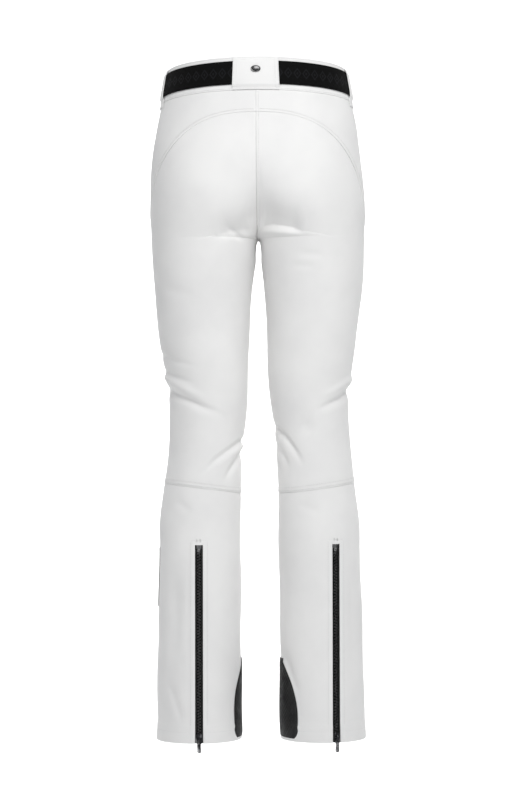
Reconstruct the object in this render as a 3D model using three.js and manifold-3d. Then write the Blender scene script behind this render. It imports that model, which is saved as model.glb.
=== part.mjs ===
// Ski pants: slim soft-shell pants with a webbing belt, zipped leg ends and inner snow gaiters.
// Millimetres, +Z up, front towards -Y, the wearer's left towards +X.
// Heights count up from the hem while the pieces are made. The finished group is lowered, so that
// its origin is the middle of the waist opening, level with the waistband's top edge at the back.
import * as THREE from 'three';
import { mergeVertices } from 'three/addons/utils/BufferGeometryUtils.js';
import Module from 'manifold-3d';

const wasm = await Module();
wasm.setup();

// Driving dimensions of the body
const INSEAM = 773; // hem to crotch
const RISE = 275; // crotch to the waistband's top edge at the back
const FRONT_DROP = 27; // how much lower the waistband runs at the front
const WAIST_WIDTH = 274;
const WAIST_BACK = 96; // centre to the waistband's top edge at the back
const HIP_WIDTH = 332;
const SEAT_BACK = 124; // centre to the fullest point of the seat
const BELLY_FRONT = 101.4; // centre to the front line, prolonged down to crotch height
const BELLY_LEAN = 0.0288; // how far the front line leans back per millimetre up
const KNEE_ABOVE_ZIP = 85;
const KNEE_WIDTH = 120;
const KNEE_DEPTH = 124;
const HEM_WIDTH = 131;
const HEM_DEPTH = 146;
const HEM_GAP = 62; // free space between the two hems
const HEM_BACK = 83; // centre plane to the back of the hem
const LEG_TURN = 0.029; // share of a full turn by which both lower legs are turned
const CROTCH_CURVE = 60; // height over which the front seam curves under

// Cloth and seams
const CLOTH = 1.5;
const SEAM = 0.4; // gap between cut pieces
const GAP = 0.4; // gap between pieces that lie on each other
const YOKE_HEIGHT = 189; // crotch to the yoke seam at the centre back
const YOKE_SWEEP = 171; // how far the yoke seam comes down at the side
const KNEE_SLOPE = 8; // how far the knee seam falls towards the inside

// Waistband, belt, loops
const BAND_HEIGHT = 52;
const BAND_OUTER = 0.6;
const BAND_INNER = 2;
const BELT_WIDTH = 38;
const BELT_DROP = 6; // below the waistband's top edge
const BELT_THICKNESS = 1.8;
const LOOP_THICKNESS = 1;
const LOOP_WIDTH = 16;
const LOOP_HEIGHT = 60;
const TUNNEL_WIDTH = 71;
const TUNNEL_HEIGHT = 51.5;
const FRONT_LOOP_AT = 0.86; // share of the half waist, from the centre back
const FREE_END = 92; // how far the belt's free end reaches past the centre front
const STUD = { width: 15, height: 10, thickness: 1.5, drop: 17.5 };

// Buckle
const BUCKLE = { left: 14, right: 18, plate: 1.2, ear: 2, earWidth: 16, pinRadius: 1.2, bore: 1.5 };
const LEVER = { barrel: 3.1, plate: 1.6, reach: 27, nose: 3.7, clear: 0.3 };

// Zips. Across the zip: the cloth's opening, the tape's edge, the chain's outer and inner edge.
const LEG_ZIP = {
  length: 303, opening: 12.3, tapeEdge: 4.2, tapeWidth: 9.5, outer: 3.7, spine: 2.2, tip: 1.1,
  pitch: 4.7, chain: 2.6, channel: 1.7, plate: 1.2, width: 11.2, slider: 15, wedge: 1.8,
  pull: 22, pullWidth: 6.8,
};
const COIL_ZIP = {
  opening: 9, tapeEdge: 3, tapeWidth: 8, outer: 2.5, inner: 0.2, chain: 2.2, channel: 1.4,
  plate: 1.1, width: 8, slider: 11, wedge: 1.2, pull: 19, pullWidth: 6.4,
};
const TAPE = 0.7;
const TAPE_OVER = 8; // how far the leg zips' tapes run on past the chain
const CHAIN_DEPTH = 2.15; // cloth's outer face to the middle of the chain
const FLY_CLEAR = 16; // from the fly's lower end down to where the front seam curves under
const POCKET_LENGTH = 118;
const POCKET_TOP = { height: 197, x: 94 }; // above the crotch, and from the centre plane
const POCKET_SLANT = 28; // how far the lower end lies further out
const LEG_ZIP_X = { left: 94, right: 116 }; // centre plane to each leg zip at the hem
const BAG_DEPTH = 10;
const GUARD_DEPTH = 6.2;
const GUARD_EDGE = 16;

// Leg ends
const PATCH = { reach: 0.12, top: 125, shoulder: 45, bottom: 4, thickness: 1 };
const GAITER = { depth: 9, thickness: 0.9, bottom: 20, top: 200 };
const ELASTIC = { bottom: 6, thickness: 2.2 };
const STRIP = { from: 0.524, to: 0.576, bottom: 205, top: 297 };

const TOP = INSEAM + RISE;
const KNEE = LEG_ZIP.length + KNEE_ABOVE_ZIP;
const FLY_TOP = TOP - FRONT_DROP - BAND_HEIGHT;
const FLY_LENGTH = FLY_TOP - INSEAM - CROTCH_CURVE - FLY_CLEAR;

const mix = (a, b, t) => a + (b - a) * t;
const limit = (value, low, high) => Math.min(high, Math.max(low, value));
const ease = (value, low, high) => {
  const t = limit((value - low) / (high - low), 0, 1);
  return t * t * (3 - 2 * t);
};

// ---- the body's form ----

// A row of the charts below: height, middle x, outer x, back y, front y
function legRow(height, gap, width, back, depth) {
  return [height, (gap + width) / 2, gap / 2 + width, back, back - depth];
}

// From hem to crotch. Hem and calf share straight lines, so that the leg zip can run straight.
const hem = legRow(0, HEM_GAP, HEM_WIDTH, HEM_BACK, HEM_DEPTH);
const calf = legRow(LEG_ZIP.length, HEM_GAP - 3, HEM_WIDTH - 5, HEM_BACK - 8.3, HEM_DEPTH - 18);
const alongCalf = (t) => hem.map((value, i) => mix(value, calf[i], t));
const thigh = (t) => mix(KNEE, INSEAM, t);
const LEG = [
  hem, alongCalf(0.5), calf, alongCalf(1.1),
  legRow(KNEE, 57, KNEE_WIDTH, 67, KNEE_DEPTH),
  legRow(thigh(0.19), 50, KNEE_WIDTH - 4.5, 61, KNEE_DEPTH + 2),
  legRow(thigh(0.37), 35, KNEE_WIDTH + 3.5, 66, KNEE_DEPTH + 16),
  legRow(thigh(0.6), 27, HIP_WIDTH / 2 - 26.5, 77, SEAT_BACK + 37),
  legRow(thigh(0.81), 17, HIP_WIDTH / 2 - 13, 89, SEAT_BACK + 57),
  legRow(INSEAM, 0, HIP_WIDTH / 2, SEAT_BACK - 22, SEAT_BACK + 76),
];

// From crotch to waist: each half is an oval around a middle that moves to the centre plane
function pelvisRow(share, middle, outer, back) {
  return [INSEAM + share * RISE, middle, outer, back, -(BELLY_FRONT - BELLY_LEAN * share * RISE)];
}
const PELVIS = [
  [INSEAM, ...LEG[LEG.length - 1].slice(1)],
  pelvisRow(0.156, 0.373 * HIP_WIDTH / 2, HIP_WIDTH / 2 + 1, SEAT_BACK - 6),
  pelvisRow(0.28, 0.283 * HIP_WIDTH / 2, HIP_WIDTH / 2, SEAT_BACK),
  pelvisRow(0.462, 0.163 * HIP_WIDTH / 2, HIP_WIDTH / 2 - 4.5, SEAT_BACK - 2),
  pelvisRow(0.629, 0.066 * HIP_WIDTH / 2, HIP_WIDTH / 2 - 11, SEAT_BACK - 10.5),
  pelvisRow(0.76, 0.012 * HIP_WIDTH / 2, mix(WAIST_WIDTH, HIP_WIDTH, 0.38) / 2, WAIST_BACK + 9),
  pelvisRow(0.905, 0, WAIST_WIDTH / 2 + 3.5, WAIST_BACK + 3),
  pelvisRow(1, 0, WAIST_WIDTH / 2, WAIST_BACK),
];

// Slope of one column of a chart at one row
function slope(chart, row, column) {
  const before = chart[Math.max(row - 1, 0)];
  const after = chart[Math.min(row + 1, chart.length - 1)];
  return (after[column] - before[column]) / (after[0] - before[0]);
}

// The chart's row at any height, by cubic curves through its rows
function section(height) {
  const chart = height < INSEAM ? LEG : PELVIS;
  let row = chart.length - 2;
  while (row > 0 && height < chart[row][0]) row -= 1;
  const [low, high] = [chart[row], chart[row + 1]];
  const span = high[0] - low[0];
  const t = limit((height - low[0]) / span, 0, 1);
  return low.map((value, i) => {
    const rise = span * slope(chart, row, i);
    const fall = span * slope(chart, row + 1, i);
    const jump = high[i] - value;
    return value + t * (rise + t * (3 * jump - 2 * rise - fall + t * (rise + fall - 2 * jump)));
  });
}

// Height of a quarter circle, from 0 at its start to 1 at its top
const arch = (t) => Math.sqrt(1 - (1 - limit(t, 0, 1)) ** 2);

// A point of the cloth's outer face on the left half. around runs from the inside of the back (0)
// over the side (0.5) to the inside of the front (1).
function leftPoint(height, around, turn) {
  const [, middle, outer, back, front] = section(height);
  const [rx, ry] = [outer - middle, (back - front) / 2];
  const cut = height < INSEAM ? 1 : limit(middle / rx, 0, 1);
  const angle = (Math.PI - Math.acos(cut)) * (1 - 2 * (around - turn));
  const x = middle + rx * Math.cos(angle);
  let y = (back + front) / 2 + ry * Math.sin(angle);
  if (height > INSEAM && angle < 0) {
    // the front has no cleft: near the centre it is filled out to a rounded line
    const full = arch((height - INSEAM) / CROTCH_CURVE);
    y -= ry * Math.max(0, full - Math.sqrt(1 - cut ** 2)) * Math.exp(-Math.max(0, x) / 35);
  }
  return new THREE.Vector3(x, y, height);
}

// Both lower legs are turned the same way, fully so from the knee down
function turnAt(side, height) {
  return side * LEG_TURN * (1 - ease(height, KNEE, INSEAM - 40));
}

function outward(height, around, turn) {
  const [low, high] = [Math.max(height - 3, 0), Math.min(height + 3, TOP)];
  const split = height >= INSEAM;
  const [from, to] = split ? [Math.max(around - 0.004, 0), Math.min(around + 0.004, 1)]
    : [around - 0.004, around + 0.004];
  const above = high > INSEAM ? limit(around, 0, 1) : around;
  const up = leftPoint(high, above, turn).sub(leftPoint(low, around, turn));
  const along = leftPoint(height, to, turn).sub(leftPoint(height, from, turn));
  const normal = up.cross(along);
  normal.z *= Math.exp(-(((height - INSEAM) / 60) ** 2));
  return normal.normalize();
}

// A point at an offset from the cloth's outer face. side is 1 for the left and -1 for the right.
function at(side, height, around, offset = 0) {
  const turn = turnAt(side, height);
  const point = leftPoint(height, around, turn);
  point.addScaledVector(outward(height, around, turn), offset);
  point.x = side * Math.max(point.x, SEAM / 2);
  return point;
}

// The share of the way around that lies some millimetres further on
function beside(side, height, around, distance) {
  const turn = turnAt(side, height);
  const [ahead, behind] = [0.002, -0.002].map((step) => leftPoint(height, around + step, turn));
  return around + (0.004 * distance) / ahead.distanceTo(behind);
}

// The share of the way around where the back (or the front) has a given distance from the middle
function aroundAtX(side, height, x, front = false) {
  const turn = turnAt(side, height);
  let [low, high] = front ? [1 + Math.min(turn, 0), 0.5 + turn] : [Math.max(turn, 0), 0.5 + turn];
  for (let i = 0; i < 40; i++) {
    const middle = (low + high) / 2;
    if (leftPoint(height, middle, turn).x < x) low = middle;
    else high = middle;
  }
  return (low + high) / 2;
}

// Round the whole waist: 0 at the centre back, 0.5 at the left side, 1 at the centre front,
// negative on the right. Past 1 it goes on to the right half.
function waist(round, height, offset) {
  const value = round > 1 ? round - 2 : round;
  return at(value < 0 ? -1 : 1, height, Math.abs(value), offset);
}

const frontShare = (around) => (1 - Math.cos(Math.PI * Math.min(Math.abs(around), 1))) / 2;
const bandTop = (around) => TOP - FRONT_DROP * frontShare(around);
const bandSeam = (around) => bandTop(around) - BAND_HEIGHT;
const yokeSeam = (around) => INSEAM + YOKE_HEIGHT - YOKE_SWEEP * (2 * around) ** 2.5;
const kneeSeam = (around) => KNEE - KNEE_SLOPE * Math.cos(2 * Math.PI * around);

// ---- making solids ----

// A closed sheet between two grids of points: face 0 is its outer side, face 1 its inner side
function sheet(columns, rows, place, ring = false) {
  const across = ring ? columns : columns + 1;
  const positions = [];
  for (const face of [0, 1]) {
    for (let i = 0; i < across; i++) {
      for (let j = 0; j <= rows; j++) {
        positions.push(...place(i / columns, j / rows, face));
      }
    }
  }
  const id = (face, i, j) => (face * across + (i % across)) * (rows + 1) + j;
  const index = [];
  const quad = (a, b, c, d) => index.push(a, b, c, a, c, d);
  for (let i = 0; i < columns; i++) {
    for (let j = 0; j < rows; j++) {
      quad(id(0, i, j), id(0, i + 1, j), id(0, i + 1, j + 1), id(0, i, j + 1));
      quad(id(1, i, j), id(1, i, j + 1), id(1, i + 1, j + 1), id(1, i + 1, j));
    }
    quad(id(0, i + 1, 0), id(0, i, 0), id(1, i, 0), id(1, i + 1, 0));
    quad(id(0, i, rows), id(0, i + 1, rows), id(1, i + 1, rows), id(1, i, rows));
  }
  for (let j = 0; j < rows && !ring; j++) {
    quad(id(0, 0, j), id(0, 0, j + 1), id(1, 0, j + 1), id(1, 0, j));
    quad(id(0, columns, j + 1), id(0, columns, j), id(1, columns, j), id(1, columns, j + 1));
  }
  return facingOut(positions, index);
}

// A geometry whose faces point out, whichever way round its grid was laid
function facingOut(positions, index) {
  const corner = (i) => new THREE.Vector3().fromArray(positions, 3 * index[i]);
  let volume = 0;
  for (let i = 0; i < index.length; i += 3) {
    volume += corner(i).dot(corner(i + 1).cross(corner(i + 2)));
  }
  if (volume < 0) index.reverse();
  const geometry = new THREE.BufferGeometry();
  geometry.setAttribute('position', new THREE.Float32BufferAttribute(positions, 3));
  geometry.setIndex(index);
  return geometry;
}

function toManifold(geometry) {
  const bare = new THREE.BufferGeometry();
  bare.setAttribute('position', geometry.getAttribute('position'));
  if (geometry.index) bare.setIndex(geometry.index);
  const merged = mergeVertices(bare, 1e-4);
  return new wasm.Manifold(new wasm.Mesh({
    numProp: 3,
    vertProperties: merged.getAttribute('position').array,
    triVerts: new Uint32Array(merged.index.array),
  }));
}

function toGeometry(manifold) {
  const mesh = manifold.getMesh();
  const geometry = new THREE.BufferGeometry();
  geometry.setAttribute('position', new THREE.BufferAttribute(mesh.vertProperties, 3));
  geometry.setIndex(new THREE.BufferAttribute(mesh.triVerts, 1));
  return geometry;
}

const join = (first, ...rest) => rest.reduce((sum, g) => sum.add(toManifold(g)), toManifold(first));
const cut = (body, ...tools) => tools.reduce((sum, g) => sum.subtract(toManifold(g)), body);

function box(u0, u1, v0, v1, w0, w1) {
  return new THREE.BoxGeometry(u1 - u0, v1 - v0, w1 - w0)
    .translate((u0 + u1) / 2, (v0 + v1) / 2, (w0 + w1) / 2);
}

// A flat outline in the u-w plane, given as [u, w] corners, thick from v0 to v1. A hole's corners
// run the other way round than the outline's.
function slab(corners, v0, v1, holes = []) {
  const shape = new THREE.Shape(corners.map(([u, w]) => new THREE.Vector2(u, w)));
  shape.holes = holes.map((hole) => new THREE.Path(hole.map(([u, w]) => new THREE.Vector2(u, w))));
  return new THREE.ExtrudeGeometry(shape, { depth: v1 - v0, bevelEnabled: false })
    .rotateX(Math.PI / 2).translate(0, v1, 0);
}

// ---- the scene ----

const pants = new THREE.Group();
pants.position.z = -TOP;

const look = (color, roughness, metalness = 0) => ({ color, roughness, metalness });
const SHELL = look(0xf3f2f0, 0.75);
const LINING = look(0xd9dadc, 0.8);
const WEBBING = look(0x17171a, 0.85);
const TAPE_LOOK = look(0x141416, 0.8);
const CHAIN = look(0x1c1c1f, 0.45);
const METAL = look(0x3a3b3f, 0.3, 0.9);
const RUBBER = look(0x151517, 0.6);

function add(name, geometry, finish, parent = pants) {
  const mesh = new THREE.Mesh(geometry, new THREE.MeshStandardMaterial(finish));
  mesh.name = name;
  parent.add(mesh);
  return mesh;
}

// A frame on the cloth: u across, v outward, w along the line from one point to another
function frameOn(from, to, normal) {
  const w = to.clone().sub(from).normalize();
  const v = normal.clone().addScaledVector(w, -normal.dot(w)).normalize();
  const group = new THREE.Group();
  group.matrix.makeBasis(v.clone().cross(w), v, w).setPosition(from);
  group.matrix.decompose(group.position, group.quaternion, group.scale);
  group.updateMatrix();
  pants.add(group);
  return group;
}

// ---- shell panels ----

// Rows of a piece that crosses crotch height lie close together just above it
const crotchRows = (share) => (low, high, v) => {
  if (v <= share) return mix(low, INSEAM, v / share);
  return mix(INSEAM, high, ((v - share) / (1 - share)) ** 1.6);
};

// Even steps round the body, with finer ones where something narrow lies behind the cloth
function spread(from, to, count, fine = []) {
  const even = Array.from({ length: count + 1 }, (_, i) => mix(from, to, i / count));
  const kept = even.filter((a) => a === from || a === to || fine.every((f) => Math.abs(f - a) > 0.02));
  return [...kept, ...fine].sort((a, b) => a - b);
}

const besideLine = (middle) => [-0.036, -0.012, 0.012, 0.036].map((step) => middle + step);

// Rows of a lower leg's piece: even steps along the straight part beside the zip's tapes, then on
// to the knee
function calfRows(low, high, v) {
  const [share, straight] = [0.6, LEG_ZIP.length + TAPE_OVER];
  if (v <= share) return mix(low, straight, v / share);
  return mix(straight, high, (v - share) / (1 - share));
}

function panel(side, arounds, low, high, rows, rowAt = mix) {
  const last = arounds.length - 1;
  return sheet(last, rows, (u, v, face) => {
    const around = limit(arounds[Math.round(u * last)], arounds[0] + 0.0005, arounds[last] - 0.0005);
    return at(side, rowAt(low(around), high(around), v), around, face * -CLOTH);
  });
}

const raise = (line) => (around) => line(around) + SEAM / 2;
const lower = (line) => (around) => line(around) - SEAM / 2;
const hemLine = () => 0;

// The line of a zip on one half of the body, from its slider's end to its fixed end
function zipLine(side, start, end, front) {
  const xAt = (height) => mix(start.x, end.x, (height - start.height) / (end.height - start.height));
  const around = (height) => aroundAtX(side, height, Math.max(xAt(height), 0.01), front);
  const middle = (start.height + end.height) / 2;
  const normal = at(side, middle, around(middle), 1).sub(at(side, middle, around(middle), 0));
  const frame = frameOn(at(side, start.height, around(start.height)),
    at(side, end.height, around(end.height)), normal);
  return { side, start, end, around, frame };
}

function legZipLine(side, x) {
  return zipLine(side, { height: 0, x }, { height: LEG_ZIP.length, x: x - side * 1.5 }, false);
}

function pocketLine(side) {
  const top = INSEAM + POCKET_TOP.height;
  return zipLine(side, { height: top, x: POCKET_TOP.x },
    { height: top - POCKET_LENGTH, x: POCKET_TOP.x + POCKET_SLANT }, true);
}

// The fly runs down the centre front, where both halves meet
function flyLine() {
  const start = { height: FLY_TOP - 4, x: 0 };
  const end = { height: FLY_TOP - FLY_LENGTH, x: 0 };
  const front = (height) => at(1, height, 1).setX(0);
  const frame = frameOn(front(start.height), front(end.height), new THREE.Vector3(0, -1, 0));
  return { side: 1, start, end, around: () => 1, frame };
}

// The slot that a zip needs in the cloth, in the body's own place
function slotTool(line, width, before, length) {
  const tool = box(-width / 2, width / 2, -9, 9, -before, length);
  return tool.applyMatrix4(line.frame.matrix);
}

function shellPanels(side, name, legZip, pocket, fly) {
  const seat = spread(0, 0.5, 10);
  add(`${name}_back_panel`, panel(side, seat, raise(kneeSeam), lower(yokeSeam), 12, crotchRows(0.42)), SHELL);
  add(`${name}_back_yoke`, panel(side, seat, raise(yokeSeam), lower(bandSeam), 7), SHELL);
  add(`${name}_shin_panel`, panel(side, spread(0.5, 1, 12), hemLine, lower(kneeSeam), 5, calfRows), SHELL);
  const belly = spread(0.5, 1, 9, [0.685, 0.71, 0.735, 0.76, 0.785, 0.81, 0.955, 0.98]);
  const front = panel(side, belly, raise(kneeSeam), lower(bandSeam), 15, crotchRows(0.34));
  const open = cut(toManifold(front),
    slotTool(pocket, COIL_ZIP.opening, 1, POCKET_LENGTH - 3),
    slotTool(fly, COIL_ZIP.opening, 30, FLY_LENGTH - 7));
  add(`${name}_front_panel`, toGeometry(open), SHELL);
  const rear = spread(0, 0.5, 12, besideLine(legZip.around(LEG_ZIP.length / 2)));
  const calfPanel = panel(side, rear, hemLine, lower(kneeSeam), 5, calfRows);
  const slot = slotTool(legZip, LEG_ZIP.opening, 20, LEG_ZIP.length);
  add(`${name}_calf_panel`, toGeometry(cut(toManifold(calfPanel), slot)), SHELL);
}

// ---- zips ----

// One tape, lying under the cloth on one side of a zip: hand is 1 or -1
function tape(line, hand, zip, over) {
  const step = Math.sign(line.end.height - line.start.height);
  return sheet(1, 6, (u, v, face) => {
    const height = mix(line.start.height + 0.5 * step, line.end.height + over * step, v);
    const reach = mix(zip.tapeEdge, zip.tapeEdge + zip.tapeWidth, u);
    const around = beside(line.side, height, line.around(height), hand * reach);
    return at(line.side, height, around, -CHAIN_DEPTH + TAPE * (0.5 - face));
  });
}

// Both tapes of a coil zip with the stitched bridge at the fixed end
function coilTape(line, zip, along) {
  const bridge = sheet(2, 1, (u, v, face) => {
    const height = line.end.height - mix(3, 9, v);
    return along(height, mix(-zip.tapeEdge - 1, zip.tapeEdge + 1, u), TAPE * (0.5 - face));
  });
  const strips = [1, -1].map((hand) => sheet(1, 4, (u, v, face) => {
    const height = mix(line.start.height - 0.5, line.end.height - 9, v);
    const reach = mix(zip.tapeEdge, zip.tapeEdge + zip.tapeWidth, u);
    return along(height, hand * reach, TAPE * (0.5 - face));
  }));
  return toGeometry(join(bridge, ...strips));
}

// One row of moulded teeth on its spine: hand is 1 or -1, and every second gap is the other row's
function teeth(hand, zip) {
  const start = zip.slider / 2 + 1;
  const count = Math.floor((zip.length - start) / zip.pitch) - 1;
  const first = start + (hand > 0 ? 0.25 : 0.75) * zip.pitch;
  const corners = [[zip.outer, start], [zip.outer, start + (count + 0.5) * zip.pitch]];
  for (let i = count - 1; i >= 0; i--) {
    const w = first + i * zip.pitch;
    corners.push([zip.spine, w + 0.95], [-zip.tip, w], [zip.spine, w - 0.95]);
  }
  const outline = corners.map(([u, w]) => [hand * u, w]);
  return slab(outline, -CHAIN_DEPTH - zip.chain / 2, -CHAIN_DEPTH + zip.chain / 2);
}

// A coil chain: its two rows as plain bars, joined by the stop at the fixed end
function coil(zip, length) {
  const [start, end] = [zip.slider / 2 + 1, length - 5];
  const corners = [
    [zip.outer, start], [zip.outer, end], [-zip.outer, end], [-zip.outer, start],
    [-zip.inner, start], [-zip.inner, end - 3], [zip.inner, end - 3], [zip.inner, start],
  ];
  return slab(corners, -CHAIN_DEPTH - zip.chain / 2, -CHAIN_DEPTH + zip.chain / 2);
}

// The slider: two plates around the chain, held by a wedge, with flanges and a bail for the pull.
// Its own zero is the middle of its plates, and the zip's open end lies at -w.
function slider(zip) {
  const [half, long] = [zip.width / 2, zip.slider / 2];
  const plate = [
    [-half, -long + 1], [-half + 1.5, -long], [half - 1.5, -long], [half, -long + 1],
    [half - 1.2, long - 1.5], [half - 3, long], [-half + 3, long], [-half + 1.2, long - 1.5],
  ];
  const faces = [-CHAIN_DEPTH - zip.channel, -CHAIN_DEPTH + zip.channel];
  const wedge = [[0, -long + 0.3], [zip.wedge, -long / 2], [0, 0], [-zip.wedge, -long / 2]];
  const parts = [
    slab(plate, faces[0] - zip.plate, faces[0]),
    slab(plate, faces[1], faces[1] + zip.plate),
    slab(wedge, faces[0] - 0.2, faces[1] + 0.2),
  ];
  for (const hand of [-1, 1]) {
    const edges = [hand * half, hand * (half - 0.9)].sort((a, b) => a - b);
    parts.push(box(...edges, -CHAIN_DEPTH + TAPE / 2 + 2 * GAP, faces[1] + 0.2, -long + 1, long - 3));
  }
  return toGeometry(cut(join(...parts, bail(zip)), bailHole(zip)));
}

const plateTop = (zip) => -CHAIN_DEPTH + zip.channel + zip.plate;
const pivotHeight = (zip) => plateTop(zip) + 2;

function bail(zip) {
  const [low, high] = [plateTop(zip) - 0.3, plateTop(zip) + 4.2];
  const side = [[-3.8, low], [-3.8, high - 1.4], [-2.4, high], [2.4, high], [3.8, high - 1.4], [3.8, low]];
  const shape = new THREE.Shape(side.map(([w, v]) => new THREE.Vector2(w, v)));
  const body = new THREE.ExtrudeGeometry(shape, { depth: 2, bevelEnabled: false });
  // the shape's x becomes w, its y stays v, and its depth lies across
  return body.translate(0, 0, -1).rotateY(-Math.PI / 2);
}

function bailHole(zip) {
  return box(-3, 3, pivotHeight(zip) - 1.2, pivotHeight(zip) + 1.2, -2.2, 2.2);
}

// The pull: a plate with a window, whose end bar runs through the bail. down is 1 or -1 along w.
function pull(zip, down) {
  const [half, length] = [zip.pullWidth / 2, zip.pull];
  const corners = [
    [-half, -0.7], [half, -0.7], [half, 7], [half - 0.9, 9], [half - 0.6, length - 1.5],
    [half - 2, length], [-half + 2, length], [-half + 0.6, length - 1.5], [-half + 0.9, 9], [-half, 7],
  ];
  const window = [[-2.1, 0.7], [-2.1, 6.2], [2.1, 6.2], [2.1, 0.7]];
  const turned = (list) => list.map(([u, w]) => [u, down * w]);
  return slab(turned(corners), pivotHeight(zip) - 0.7, pivotHeight(zip) + 0.7, [turned(window)]);
}

// Slider and pull of one zip, at the slider's end of its line
function runner(name, line, zip, down) {
  const group = new THREE.Group();
  group.position.z = zip.slider / 2 + 0.5;
  line.frame.add(group);
  add(`${name}_slider`, slider(zip), METAL, group);
  add(`${name}_pull`, pull(zip, down), METAL, group);
}

// The strip of cloth behind a leg zip, sewn to the shell along both its edges
function zipGuard(line) {
  const stations = [-1, -0.72, -0.5, 0, 0.5, 0.72, 1];
  const depths = [2, 2.6, GUARD_DEPTH, GUARD_DEPTH, GUARD_DEPTH, 2.6, 2];
  return sheet(stations.length - 1, 8, (u, v, face) => {
    const i = Math.round(u * (stations.length - 1));
    const height = mix(LEG_ZIP.slider + 1, LEG_ZIP.length + 9, v);
    const around = beside(line.side, height, line.around(height), stations[i] * (GUARD_EDGE + 4));
    return at(line.side, height, around, -depths[i] - 0.6 - 0.8 * face);
  });
}

function legZip(name, line) {
  const hand = outerHand(line);
  add(`${name}_leg_zip_tape_outer`, tape(line, 1, LEG_ZIP, TAPE_OVER), TAPE_LOOK);
  add(`${name}_leg_zip_tape_inner`, tape(line, -1, LEG_ZIP, TAPE_OVER), TAPE_LOOK);
  add(`${name}_leg_zip_teeth_outer`, teeth(hand, LEG_ZIP), CHAIN, line.frame);
  add(`${name}_leg_zip_teeth_inner`, teeth(-hand, LEG_ZIP), CHAIN, line.frame);
  runner(`${name}_leg_zip`, line, LEG_ZIP, -1);
  add(`${name}_leg_zip_guard`, zipGuard(line), LINING);
}

// Which way u points in a zip's frame: 1 when it points away from the centre plane
function outerHand(line) {
  const u = new THREE.Vector3().setFromMatrixColumn(line.frame.matrix, 0);
  return Math.sign(u.x * line.side);
}

function pocketZip(name, line) {
  const along = (height, reach, offset) =>
    at(line.side, height, beside(line.side, height, line.around(height), reach), offset - CHAIN_DEPTH);
  add(`${name}_pocket_zip_tape`, coilTape(line, COIL_ZIP, along), TAPE_LOOK);
  add(`${name}_pocket_zip_coil`, coil(COIL_ZIP, POCKET_LENGTH), CHAIN, line.frame);
  runner(`${name}_pocket_zip`, line, COIL_ZIP, 1);
}

function flyZip(line) {
  const along = (height, reach, offset) => {
    return at(Math.sign(reach), height, aroundAtX(1, height, Math.abs(reach), true), offset - CHAIN_DEPTH);
  };
  add('fly_zip_tape', coilTape(line, COIL_ZIP, along), TAPE_LOOK);
  add('fly_zip_coil', coil(COIL_ZIP, FLY_LENGTH - 4), CHAIN, line.frame);
  runner('fly_zip', line, COIL_ZIP, 1);
}

// ---- pockets and fly guard ----

// The pocket bag: a shallow dish of lining behind the front panel, its rim behind the zip tape
function pocketBag(side) {
  const arounds = [0.665, 0.68, 0.72, 0.76, 0.8, 0.84, 0.88, 0.895];
  const drops = [-5, -2, 30, 65, 100, 130, 155, 162];
  return sheet(arounds.length - 1, drops.length - 1, (u, v, face) => {
    const rim = Math.min(u, 1 - u, v, 1 - v) < 0.01;
    const around = arounds[Math.round(u * (arounds.length - 1))];
    const height = INSEAM + POCKET_TOP.height - drops[Math.round(v * (drops.length - 1))];
    return at(side, height, around, -CHAIN_DEPTH - (rim ? 0.75 : BAG_DEPTH) - 0.8 * face);
  });
}

// The guard behind the fly: fixed on the right, free on the left
function flyGuard() {
  const xs = [-26, -20, -13, 0, 10, 20];
  const depths = [2.4, 2.4, GUARD_DEPTH, GUARD_DEPTH, GUARD_DEPTH, GUARD_DEPTH];
  return sheet(xs.length - 1, 8, (u, v, face) => {
    const i = Math.round(u * (xs.length - 1));
    const height = mix(FLY_TOP - FLY_LENGTH - 12, FLY_TOP + BAND_HEIGHT - 4, v);
    const around = aroundAtX(1, height, Math.abs(xs[i]), true);
    return at(xs[i] < 0 ? -1 : 1, height, around, -depths[i] - 0.8 * face);
  });
}

function waistSnap() {
  const height = FLY_TOP + BAND_HEIGHT - BELT_DROP - BELT_WIDTH / 2;
  const centre = at(1, height, aroundAtX(1, height, 11, true));
  const frame = frameOn(centre, centre.clone().add(new THREE.Vector3(0, BELLY_LEAN, 1)),
    new THREE.Vector3(0, -1, 0));
  const disc = (radius, v0, v1) => new THREE.CylinderGeometry(radius, radius, v1 - v0, 16)
    .translate(0, (v0 + v1) / 2, 0);
  const middle = -(BAND_INNER + GUARD_DEPTH) / 2;
  add('waist_snap_socket', disc(6, middle + 0.2, -BAND_INNER - 2 * GAP), METAL, frame);
  add('waist_snap_stud', disc(5, -GUARD_DEPTH + GAP, middle - 0.2), METAL, frame);
}

// ---- waistband, belt, loops ----

function waistband() {
  return sheet(44, 2, (u, v, face) => {
    const round = mix(-0.9985, 0.9985, u);
    const height = mix(bandSeam(round) + SEAM / 2, bandTop(round), v);
    return waist(round, height, face ? -BAND_INNER : BAND_OUTER);
  });
}

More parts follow.
